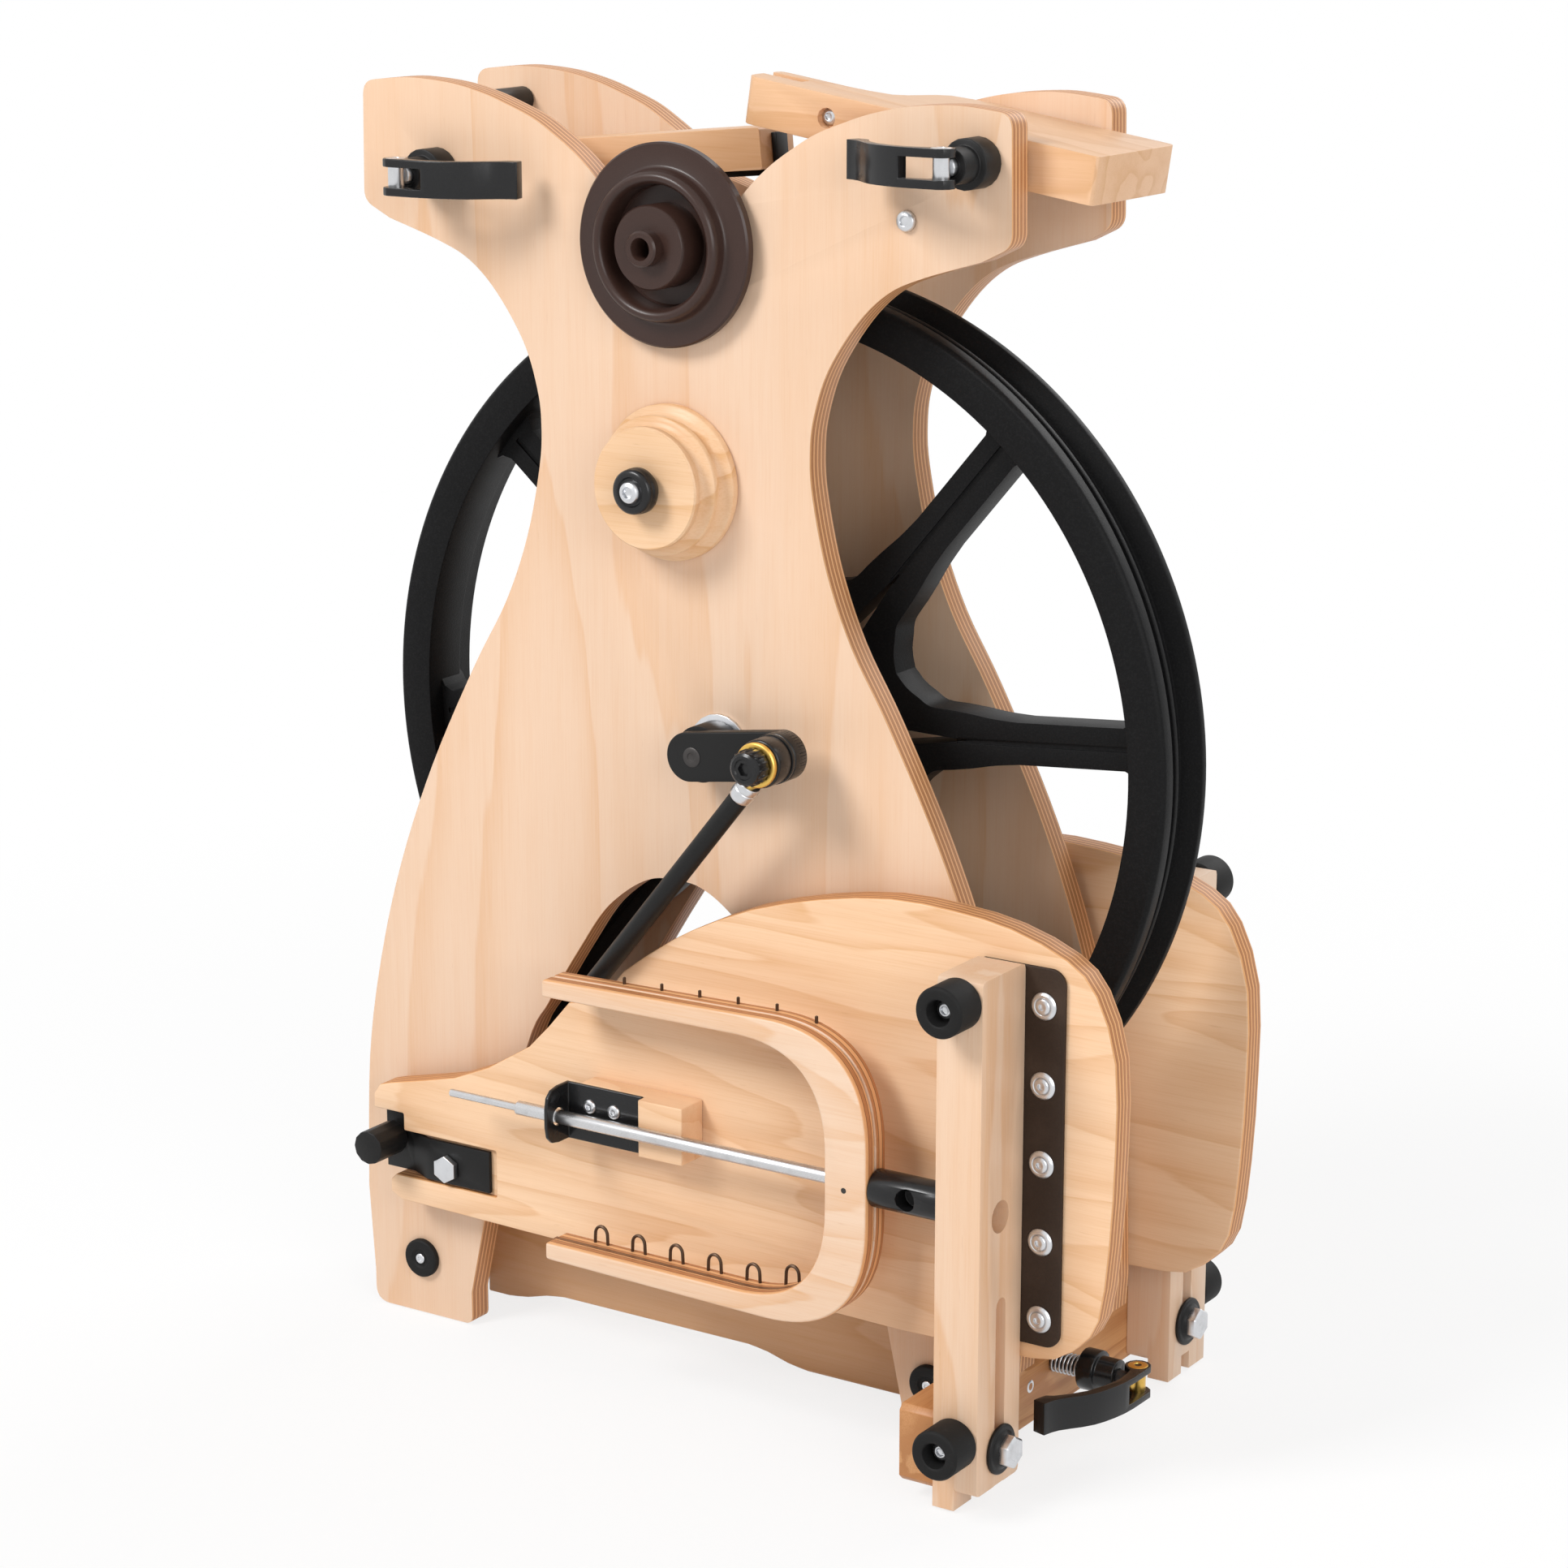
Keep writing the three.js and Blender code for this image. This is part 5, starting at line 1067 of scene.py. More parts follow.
def coil_tree() -> Repeater:
    """Makes the tree that winds a wire into a spring along X.

    Returns:
        The tree.
    """
    tree = Repeater("wound_spring")
    for name in ("Turns", "Coil Radius", "Length", "Wire Radius"):
        tree.size(name)
    tree.size("Start", "NodeSocketVector")
    tree.size("Finish", "NodeSocketMaterial")
    spiral = tree.add("GeometryNodeCurveSpiral", {}, {
        "Resolution": 28, "Rotations": "Turns", "Start Radius": "Coil Radius",
        "End Radius": "Coil Radius", "Height": "Length"})
    wire = tree.add("GeometryNodeCurvePrimitiveCircle", {}, {"Resolution": 10,
                                                             "Radius": "Wire Radius"})
    swept = tree.add("GeometryNodeCurveToMesh", {}, {
        "Curve": spiral.outputs[0], "Profile Curve": wire.outputs[0], "Fill Caps": True})
    placed = tree.add("GeometryNodeTransform", {}, {
        "Geometry": swept.outputs[0], "Translation": "Start",
        "Rotation": (0.0, math.pi / 2, 0.0)})
    tree.close(placed.outputs[0])
    return tree


def repeated(name: str, piece: bpy.types.Object, finish: Finish, places: Sequence[Vector]
             ) -> bpy.types.Object:
    """Sets copies of a pattern at places and removes the pattern.

    Args:
        name: Name of the new object.
        piece: Pattern, modelled about the origin.
        finish: What it is made of.
        places: Where the copies go, in metres.

    Returns:
        All the copies as one object.
    """
    mesh = bpy.data.meshes.new(name + "_points")
    mesh.from_pydata([tuple(place) for place in places], [], [])
    points = entered(name + "_points", mesh)
    copies = points_tree().grow(name, finish, {"Points": points, "Piece": piece})
    bpy.data.objects.remove(piece)
    bpy.data.objects.remove(points)
    return copies


def ringed(name: str, piece: bpy.types.Object, finish: Finish, count: int, centre: Vector
           ) -> bpy.types.Object:
    """Sets copies of a pattern evenly round an axis along Y and removes the pattern.

    Args:
        name: Name of the new object.
        piece: Pattern, modelled about the origin.
        finish: What it is made of.
        count: How many there are.
        centre: A point of the axis, in metres.

    Returns:
        All the copies as one object.
    """
    copies = ring_tree().grow(name, finish, {
        "Piece": piece, "Count": count, "Step": -2 * math.pi / count, "Centre": centre})
    bpy.data.objects.remove(piece)
    return copies


# Fastenings


@dataclass
class PanHead:
    """A domed screw head with a six-sided socket."""

    radius: float = 4.0
    height: float = 2.0
    socket: float = 1.8

    def build(self, name: str, place: Vector, out: Vector, finish: Finish) -> bpy.types.Object:
        """Builds the head.

        Args:
            name: Name of the new object.
            place: Middle of the face it sits on.
            out: Direction it points in.
            finish: What it is made of.

        Returns:
            The head with its socket.
        """
        r, h, s = self.radius, self.height, self.socket
        return turned(name, [(0, -0.3), (r, -0.3), (r, h * 0.35), (r * 0.9, h * 0.75),
                             (r * 0.62, h), (s * 1.05, h), (s, h * 0.35), (0, h * 0.2)],
                      place, out, finish, 30, 0.12, 20)


@dataclass
class HexHead:
    """A hexagonal bolt head with a chamfered face on a round washer."""

    across: float = 13.0
    height: float = 5.0

    def build(self, name: str, place: Vector, out: Vector, finish: Finish) -> bpy.types.Object:
        """Builds the head.

        Args:
            name: Name of the new object.
            place: Middle of the face it sits on.
            out: Direction it points in.
            finish: What it is made of.

        Returns:
            The head.
        """
        r = self.across / math.sqrt(3)
        h = self.height
        return turned(name, [(0, 0), (r, 0), (r, h * 0.82), (r * 0.86, h), (r * 0.55, h),
                             (r * 0.5, h * 0.93), (0, h * 0.93)], place, out, finish, 6, 0.25, 15)


# Sub-assemblies


@dataclass
class WheelFrame:
    """Panels, rail, crossbeams, tubes, bearings and foot pads."""

    dressings: tuple[tuple[str, Finish, float], ...] = (
        ("base_rail", RAIL_WOOD, 0.8), ("left_crossbeam", RAIL_WOOD, 0.8),
        ("right_crossbeam", BEAM_WOOD, 0.8), ("carry_tube", MATT_BLACK, 0.8),
        ("lobe_spacer", ZINC, 0.15), ("front_bearing", ZINC, 0.2), ("rear_bearing", ZINC, 0.2))
    pad_places: tuple[Point, ...] = ((-171.0, 28.0), (109.5, 28.0))
    pad_face: float = 48.2
    pad_radius: float = 9.3
    spacer_place: Point = (93.2, 533.5)
    spacer_face: float = 48.5
    beam_screw_place: Point = (143.2, -20.0, 25.0)
    panel_round: float = 1.1
    half_foot: float = 179.2
    height: float = 581.0
    centre_x: float = -24.0
    faces: tuple[float, float] = (35.3, 48.0)
    notch: Point = (126.7, 43.5)
    cut_past: float = 5.0
    drilled: tuple[Point, ...] = (
        (0, AXLE_Z, 11.3), *((x, z, 4.2) for _, x, z in RELEASES), (93.2, 533.5, 4.2))
    foot: Point = (118.8, 176.4)
    foot_rise: float = 16.0
    foot_corners: Point = (4.0, 8.0)
    lobe_corners: Point = (8.0, 7.0)
    cleft: Point = (12.0, 7.5)
    flank: tuple[Point, ...] = (
        (1.0, 0.1), (0.985, 0.212), (0.938, 0.298), (0.862, 0.382), (0.753, 0.466),
        (0.612, 0.551), (0.508, 0.606), (0.439, 0.659), (0.398, 0.714), (0.391, 0.746),
        (0.402, 0.773), (0.441, 0.807), (0.521, 0.843), (0.604, 0.866), (0.7, 0.879),
        (0.85, 0.893))
    lobe_end: tuple[Point, ...] = ((0.85, 0.893), (0.929, 0.905), (0.924, 0.996), (0.85, 0.9985))
    lobe_top: tuple[Point, ...] = (
        (0.85, 0.9985), (0.771, 1.0), (0.653, 0.9974), (0.557, 0.9914), (0.482, 0.984),
        (0.404, 0.9747), (0.344, 0.964), (0.287, 0.9523), (0.237, 0.9394), (0.2, 0.9275))
    arch: tuple[Point, ...] = (
        (0, 0.4071), (0.062, 0.4053), (0.124, 0.3966), (0.192, 0.3804), (0.238, 0.3644),
        (0.291, 0.3401), (0.335, 0.3194), (0.398, 0.2876), (0.471, 0.2454), (0.618, 0.09))

    def build(self) -> None:
        """Builds the panels, dresses the frame's solids and adds its fastenings."""
        self._panel(Side.FRONT, PANEL_FRONT)
        self._panel(Side.REAR, PANEL_REAR)
        for node, finish, width in self.dressings:
            dressed(node, finish, width)
        for side in Side:
            for where, place in zip(("left", "right"), self.pad_places):
                self._pad(side, where, place)
            x, z = self.spacer_place
            screw = PanHead(4.4, 2.3, 2.0).build(
                f"{side.word}_spacer_head", at(x, side.value * self.spacer_face, z), side.out, ZINC)
            carried(screw, "frame")
        beam_screw = PanHead(3.4, 1.0, 1.6).build("crossbeam_screw", at(*self.beam_screw_place),
                                                  Axis.X.unit, ZINC)
        carried(beam_screw, "frame")

    def _sized(self, shares: Sequence[Point]) -> list[Point]:
        """Turns shares of the half width and the height into millimetres."""
        return [(across * self.half_foot, high * self.height) for across, high in shares]

    def _half_panel(self) -> list[Point]:
        """Outlines one half of a panel.

        Returns:
            Points from the arch down the leg, up the flank and over the lobe to the cleft,
            measured from the panel's middle and the floor.
        """
        inner, outer = self.foot
        rise = self.foot_rise
        foot = rounded([(inner, rise), (inner, 0), (outer, 0), (outer, rise)],
                       [0, *self.foot_corners, 0], 6)
        end = rounded(self._sized(self.lobe_end), [0, *self.lobe_corners, 0], 6)
        top = smooth(self._sized(self.lobe_top), 5)
        half, fall = self.cleft
        return [*smooth(self._sized(self.arch), 5), *foot,
                *smooth(self._sized(self.flank), 5)[:-1], *end[:-1], *top,
                (half, top[-1][1] - fall)]

    def _panel(self, side: Side, finish: Finish) -> None:
        """Cuts a panel to its outline, notches and drills it, and rounds its edges.

        Args:
            side: Which panel it is.
            finish: What it is made of.
        """
        half = self._half_panel()
        outline = ([(self.centre_x + across, high) for across, high in half]
                   + [(self.centre_x - across, high) for across, high in reversed(half[1:])])
        low, high = sorted(side.value * face for face in self.faces)
        past = self.cut_past
        panel = slab(f"{side.word}_panel_dressed", outline, low, high, finish, 0)
        x, z = self.notch
        corner = [(x, -past), (x + self.half_foot, -past), (x + self.half_foot, z), (x, z)]
        carved(panel, slab("notch", corner, low - past, high + past, finish, 0))
        for x, z, radius in self.drilled:
            carved(panel, turned("drill", plain(radius, low - past, high + past), at(x, 0, z),
                                 Axis.Y.unit, finish, 48))
        bevelled(panel, self.panel_round, 3, 30)
        stand_in(panel, f"{side.word}_panel")

    def _pad(self, side: Side, where: str, place: Point) -> None:
        """Builds one dished foot pad with its screw.

        Args:
            side: Which panel it is on.
            where: Which foot it is on.
            place: Its middle, as x and z.
        """
        r = self.pad_radius
        start = at(place[0], side.value * self.pad_face, place[1])
        pad = turned("pad", [
            (0, 0), (r, 0), (r, 2.2), (r - 0.8, 3.0), (r * 0.52, 3.0), (r * 0.42, 2.2), (0, 2.2)],
            start, side.out, FOOT_RUBBER, 48, 0.2, 25)
        screw = PanHead(2.5, 1.0, 1.0).build("screw", start + side.out * 2.3 * MM, side.out, ZINC)
        assembled(f"{side.word}_{where}_foot_pad", [pad, screw])


@dataclass
class DriveWheel:
    """The black wheel with its rim, spokes and hub, and its axle."""

    radius: float = 203.0
    inner: float = 184.0
    spokes: int = 8
    phase: float = math.radians(4.6)
    half_depth: float = 8.0
    slot: Point = (44.0, 102.0)
    slot_half: float = 6.0
    crease: float = 2.4
    crease_depth: float = 1.2
    sides: tuple[Point, ...] = ((85, 14.2), (95, 13.1), (105, 11.8), (115, 10.2), (127, 9.2))
    gap_end: tuple[Point, ...] = ((79, 13.6), (75.2, 7.4), (73, 0))
    spoke_root: float = 24.0
    hub_profile: tuple[Point, ...] = (
        (6.3, -16), (24, -16), (26, -14), (26, 14), (24, 16), (6.3, 16), (6.3, -16))

    def build(self) -> None:
        """Builds the wheel and dresses the axle."""
        hub = turned("hub", self.hub_profile, at(0, 0, AXLE_Z), Axis.Y.unit, WHEEL_BLACK, 64, 0.6)
        assembled("drive_wheel", [self._rim(), hub, self._spider()])
        dressed("axle", ZINC, 0.5)

    def _rim(self) -> bpy.types.Object:
        """Turns the rim with its grooves and thin rear flange.

        Returns:
            The rim.
        """
        r, a = self.radius, self.inner
        profile = [(a, -17.5), (r - 3.5, -17.5), (r - 1.8, -15.7), (r - 1.8, -9), (r - 8, -9),
                   (r - 8, -3.5), (r - 3.6, -3.5), (r - 3.6, -0.5), (r - 9.8, 1.3),
                   (r - 9.8, 11.7), (r, 13.5), (r, 17.5), (a + 3, 17.5), (a + 3, 6), (a, 6),
                   (a, -17.5)]
        return turned("rim", profile, at(0, 0, AXLE_Z), Axis.Y.unit, WHEEL_BLACK, 200, 0.7, 20)

    def _half_outline(self) -> list[Point]:
        """Outlines one side of a spoke, from the rim round the web to the hub.

        Returns:
            Points of distance from the axle and from the spoke's middle line.
        """
        tip = self.sides[-1][1]
        fillet = [(self.inner + 1.6, tip + 8), (self.inner - 0.4, tip + 6),
                  (self.inner - 2.0, tip + 2.4), (self.inner - 6.5, tip)]
        side = [(math.sqrt(r * r - h * h), h) for r, h in reversed(self.sides)]
        middle = math.pi / self.spokes
        web = []
        for u, v in self.gap_end:
            r, a = math.hypot(u, v), middle - math.atan2(v, u)
            web.append((r * math.cos(a), r * math.sin(a)))
        root = (self.spoke_root * math.cos(middle), self.spoke_root * math.sin(middle))
        return [*fillet, *smooth([*side, *web], 4), root]

    def _spider(self) -> bpy.types.Object:
        """Repeats one spoke round the axle and rounds the edges of the whole.

        Returns:
            The spokes and the web between them.
        """
        half = self._half_outline()
        d = self.half_depth

        def about_origin(name: str, outline: Sequence[Point], low: float, high: float
                         ) -> bpy.types.Object:
            """Makes a flat piece with sharp edges, measured from the origin."""
            return slab(name, outline, low, high, WHEEL_BLACK, 0, base=Vector())

        spoke = about_origin("spoke", half + [(x, -z) for x, z in reversed(half)], -d, d)
        start, end = self.slot
        slot = rounded([(start, -self.slot_half), (end, 0), (start, self.slot_half)],
                       [2.4, 0.25, 2.4], 4)
        carved(spoke, about_origin("slot", slot, -d - 1, d + 1))
        near, far, c = end - 6, self.inner - 3, self.crease / 2
        for side in Side:
            low, high = sorted((side.value * (d - self.crease_depth), side.value * (d + 1)))
            carved(spoke, about_origin("crease", [(near, -c), (far, -c), (far, c), (near, c)],
                                       low, high))
        spoke.data.transform(Matrix.Rotation(-self.phase, 4, "Y"))
        spider = ringed("spider", spoke, WHEEL_BLACK, self.spokes, at(0, 0, AXLE_Z))
        source = bmesh.new()
        source.from_mesh(spider.data)
        bmesh.ops.remove_doubles(source, verts=source.verts, dist=3e-6)
        inner = [face for face in source.faces
                 if all(len(edge.link_faces) > 2 for edge in face.edges)]
        bmesh.ops.delete(source, geom=inner, context="FACES")
        bmesh.ops.dissolve_limit(source, angle_limit=math.radians(0.4), verts=source.verts,
                                 edges=source.edges)
        source.to_mesh(spider.data)
        source.free()
        bevelled(spider, 0.9, 3, 24)
        return spider


@dataclass
class Drive:
    """The two cranks and the footman rods that hang on their pins."""

    crank_radius: float = 45.0
    crank_turn: float = math.radians(7.9)
    half_width: float = 10.9
    tail: float = 2.3
    plate_faces: tuple[float, float] = (64.0, 70.0)
    hub_face: float = 49.9
    hub_size: tuple[float, float] = (12.5, 14.0)
    pin_face: float = 74.0
    pin_size: tuple[float, float] = (3.9, 16.0)
    eye_y: float = 80.4
    eye_half: float = 4.7
    brass_lip: float = 3.0
    lean: float = math.radians(39.9)
    tail_z: float = 190.8
    rod_in: float = 3.0
    tail_in: float = 9.3
    socket: float = 3.1
    ribs: int = 16
    cap_profile: tuple[Point, ...] = (
        (0, 0), (7.5, 0), (7.5, 6.3), (7.0, 7.6), (5.9, 8.3), (4.6, 8.3), (4.2, 7.7), (0, 7.7))
    rib_profile: tuple[Point, ...] = ((0, 0), (0.85, 0.1), (0.85, 5.6), (0.4, 6.4), (0, 6.6))
    neck_profile: tuple[Point, ...] = (
        (0, 8.5), (3.9, 8.5), (3.2, 11), (2.8, 13.5), (3.4, 16.0), (0, 16.0))
    ferrule_profile: tuple[Point, ...] = (
        (0, 14.8), (4.9, 14.8), (5.3, 15.6), (5.3, 18.2), (4.9, 18.6), (5.3, 19.0), (5.3, 22.8),
        (4.9, 24), (0, 24))

    def build(self) -> None:
        """Builds both sides."""
        for side in Side:
            self._crank(side)
            self._footman(side)

    def _turn(self, side: Side) -> float:
        """Angle of a crank, the rear one half a turn from the front one."""
        return self.crank_turn + (math.pi if side is Side.REAR else 0.0)

    def _pin(self, side: Side) -> tuple[float, float]:
        """Place of a crank pin, as x and z in millimetres."""
        turn = self._turn(side)
        return self.crank_radius * math.cos(turn), AXLE_Z + self.crank_radius * math.sin(turn)

    def _crank(self, side: Side) -> None:
        """Builds a crank: plate, hub, boss, pin, hub screw and ribbed cap.

        Args:
            side: Which crank it is.
        """
        x, z = self._pin(side)
        turn, s, r = self._turn(side), side.value, self.half_width
        tail_x, tail_z = -self.tail * math.cos(turn), AXLE_Z - self.tail * math.sin(turn)
        outline = [*arc(x, z, r, turn - math.pi / 2, math.pi, 24),
                   *arc(tail_x, tail_z, r, turn + math.pi / 2, math.pi, 24)]
        low, high = (s * face for face in self.plate_faces)
        plate = slab("plate", outline, low, high, MATT_BLACK, 0.7, 3)
        radius, length = self.hub_size
        hub = turned("hub", plain(radius, 0, length), at(0, s * self.hub_face, AXLE_Z), side.out,
                     MATT_BLACK, 48, 0.4)
        boss = turned("boss", [(0, 0), (r, 0), (r, 8.6), (r - 0.5, 8.8), (r - 0.5, 9.2),
                               (r, 9.4), (r, 11.1), (0, 11.1)],
                      at(x, s * (self.plate_faces[0] + 0.1), z), side.out, SATIN_BLACK, 64, 0.25)
        radius, length = self.pin_size
        pin = turned("pin", plain(radius, 0, length), at(x, s * self.pin_face, z), side.out, ZINC)
        screw = PanHead(4.4, 0.5, 1.9).build("screw", at(0, s * self.plate_faces[1], AXLE_Z),
                                             side.out, BLACK_OXIDE)
        cap = self._cap(at(x, s * (self.eye_y + self.eye_half + self.brass_lip + 0.5), z), side)
        assembled(f"{side.word}_crank", [plate, hub, boss, pin, screw, *cap])

    def _cap(self, start: Vector, side: Side) -> list[bpy.types.Object]:
        """Builds the ribbed cap with its six-sided socket.

        Args:
            start: Middle of the face it sits on.
            side: Which crank it is on.

        Returns:
            The cap and its ribs.
        """
        body = turned("cap", self.cap_profile, start, side.out, SATIN_BLACK, 48)
        hexagon = arc(0, 0, self.socket, 0, math.pi * 5 / 3, 5)
        carved(body, slab("socket", hexagon, -2, 2, SATIN_BLACK, 0,
                          base=start + side.out * 8 * MM))
        smoothed(body.data, 30)
        rib = turned("rib", self.rib_profile, Vector((7.2, 0.3 * side.value, 0)) * MM, side.out,
                     SATIN_BLACK, 8)
        return [body, ringed("ribs", rib, SATIN_BLACK, self.ribs, start)]

    def _footman(self, side: Side) -> None:
        """Builds a footman: brass-lined eye, ferrule, black rod and its tapered end.

        Args:
            side: Which crank it hangs on.
        """
        x, z = self._pin(side)
        s, h, lip = side.value, self.eye_half, self.brass_lip
        fall = self._pin(Side.FRONT)[1] - self.tail_z
        centre = at(x, s * self.eye_y, z)
        start = at(x, s * (self.eye_y - self.rod_in), z)
        end = at(x - math.tan(self.lean) * fall, s * (self.eye_y - self.tail_in), z - fall)
        along = (end - start).normalized()
        total = (end - start).length / MM
        ring = turned("ring", [(8.0, -h), (10.5, -h), (10.5, h - 0.6), (9.9, h), (8.0, h),
                               (8.0, -h)], centre, side.out, SATIN_BLACK, 64, 0.3, 25)
        lining = turned("lining", [
            (4.2, -h), (8.4, -h), (8.4, h), (9.2, h + 0.2), (9.8, h + 0.8), (9.8, h + lip - 0.6),
            (9.3, h + lip - 0.1), (8.2, h + lip), (4.2, h + lip), (4.2, -h)],
            centre, side.out, BRASS, 64, 0.1, 25)
        joint = start + along * self.neck_profile[-1][1] * MM
        neck = turned("neck", self.neck_profile, centre, joint - centre, BRASS, 24, 0.2)
        ferrule = turned("ferrule", self.ferrule_profile, start, along, ZINC, 40, 0.15)
        rod = turned("rod", [(0, 20), (4.5, 20), (4.5, total), (3.7, total + 4), (2.7, total + 8),
                             (0, total + 8)], start, along, MATT_BLACK, 40, 0.3)
        assembled(f"{side.word}_footman", [ring, lining, neck, ferrule, rod])


@dataclass
class CamLevers:
    """Quick releases and the clamp, each with a cam lever and a barrel nut."""

    nut_radius: float = 3.55
    release_y: float = -78.0
    release_nut: tuple[float, float] = (7.2, 8.05)
    clamp_x: float = 186.2
    clamp_z: float = 30.5
    clamp_nut: tuple[float, float] = (6.6, 7.3)
    spring_x: float = 145.1

    def build(self) -> None:
        """Dresses the levers, rods and bases, and adds nuts and the spring."""
        for where, x, z in RELEASES:
            dressed(f"{where}_release_lever", SATIN_BLACK, 0.9, 3, 24)
            dressed(f"{where}_release_rod", ZINC, 0.3)
            dressed(f"{where}_release_base", MATT_BLACK, 0.5)
            self._nut(f"{where}_barrel_nut", at(x, self.release_y, z), self.release_nut, ZINC,
                      f"{where}_release_lever_body")
        dressed("clamp_lever", SATIN_BLACK, 0.9, 3, 24)
        dressed("clamp_rod", BLACK_OXIDE, 0.2)
        dressed("clamp_barrel", SATIN_BLACK, 0.6)
        self._nut("clamp_barrel_nut", at(self.clamp_x, 0, self.clamp_z), self.clamp_nut, BRASS,
                  "clamp_lever_body")
        self._spring()

    def _nut(self, name: str, place: Vector, heights: tuple[float, float], finish: Finish,
             body: str) -> None:
        """Builds an upright barrel nut across a lever's fork, with a dished head.

        Args:
            name: Name of the new object.
            place: Middle of the nut.
            heights: Half its length and the height of its head, in millimetres.
            finish: What it is made of.
            body: The body it rides on.
        """
        r = self.nut_radius
        half, reach = heights
        nut = turned(name, [(0, -half), (r, -half), (r, half), (r + 1.0, half + 0.2),
                            (r + 0.9, reach), (r * 0.5, reach + 0.25), (r * 0.45, reach - 0.5),
                            (0, reach - 0.5)], place, Axis.Z.unit, finish, 30, 0.15)
        carried(nut, body)

    def _spring(self) -> None:
        """Winds the clamp's spring in place of its solid."""
        piece = coil_tree().grow("clamp_spring_dressed", SPRING_STEEL, {
            "Turns": 7.0, "Coil Radius": 4.4 * MM, "Length": 13.6 * MM, "Wire Radius": 0.6 * MM,
            "Start": at(self.spring_x, 0, self.clamp_z)}, 60)
        stand_in(piece, "clamp_spring")


@dataclass
class Maidens:
    """The two arms that carry the flyer in use."""

    screw_place: Point = (43.0, -27.7, 572.0)

    def build(self) -> None:
        """Dresses the arms and adds the sunk screw."""
        dressed("front_maiden", ARM_WOOD, 1.4, 3)
        dressed("rear_maiden", ARM_WOOD, 1.4, 3)
        dressed("rear_maiden_bracket", MATT_BLACK, 0.3)
        screw = PanHead(3.6, 1.6, 1.5).build("maiden_screw", at(*self.screw_place),
                                             Side.FRONT.out, ZINC)
        carried(screw, "front_maiden_body")


@dataclass
class StoredWhorls:
    """The brown flyer whorl on its peg and the stepped wooden whorl under its knob."""

    brown_place: Point = (-23.4, 516.8)
    wood_place: Point = (-24.0, 414.6)
    face: float = -48.25
    knob_out: float = 21.95
    brown_profile: tuple[Point, ...] = (
        (4.5, 0.2), (34, 0), (34, 2.5), (42.7, 2.5), (43.5, 3.3), (43.5, 6.7), (42.7, 7.5),
        (34, 7.5), (32.9, 8.0), (32.3, 9.1), (32.1, 12.0), (31.6, 13.8), (30.7, 15.0),
        (29.5, 15.5), (28.3, 15.2), (27.2, 14.2), (26.4, 12.4), (26, 9.5), (26, 3.2),
        (25.3, 2.5), (18, 2.5), (18, 17.0), (17.2, 18), (7.7, 18), (7.7, 23.2), (6.9, 24),
        (4.9, 24), (4.5, 23.4), (4.5, 0.2))
    wood_profile: tuple[Point, ...] = (
        (3.3, 0.1), (33.6, 0), (34.1, 0.5), (34.1, 3.4), (33.7, 4.0), (32.0, 4.5), (30.2, 5.5),
        (29.0, 6.8), (28.7, 7.9), (29.0, 8.9), (29.9, 9.6), (30.4, 10.1), (30.4, 12.0),
        (29.9, 12.6), (28.2, 13.0), (26.4, 13.8), (25.2, 15.0), (24.9, 16.2), (25.3, 17.1),
        (26.2, 17.6), (26.6, 18.1), (26.6, 20.9), (25.9, 21.7), (3.3, 21.7), (3.3, 0.1))
    knob_profile: tuple[Point, ...] = (
        (3.3, 0), (7.9, 0), (7.9, 1.8), (9.3, 2.2), (10, 3.2), (10, 5.6), (9.4, 6.4), (9.4, 6.9),
        (9.8, 7.5), (9.6, 8.9), (8.6, 9.8), (6.6, 9.9), (6.0, 9.2), (3.3, 9.0), (3.3, 0))

    def build(self) -> None:
        """Turns the whorls and builds the knob."""
        out = Side.FRONT.out
        x, z = self.brown_place
        brown = turned("flyer_whorl_dressed", self.brown_profile, at(x, self.face, z), out,
                       WHORL_BROWN, 128, angle=32)
        stand_in(brown, "flyer_whorl")
        dressed("whorl_peg", PEG_WOOD, 0.4)
        x, z = self.wood_place
        wood = turned("wooden_whorl_dressed", self.wood_profile, at(x, self.face, z), out,
                      WHORL_WOOD, 112, angle=32)
        stand_in(wood, "wooden_whorl")
        dressed("whorl_stud", ZINC, 0.2)
        start = at(x, self.face - self.knob_out, z)
        knob = turned("knob", self.knob_profile, start, out, SATIN_BLACK, 56, angle=32)
        screw = PanHead(4.9, 3.2, 2.3).build("screw", start + out * 9.0 * MM, out, ZINC)
        assembled("whorl_knob", [knob, screw])


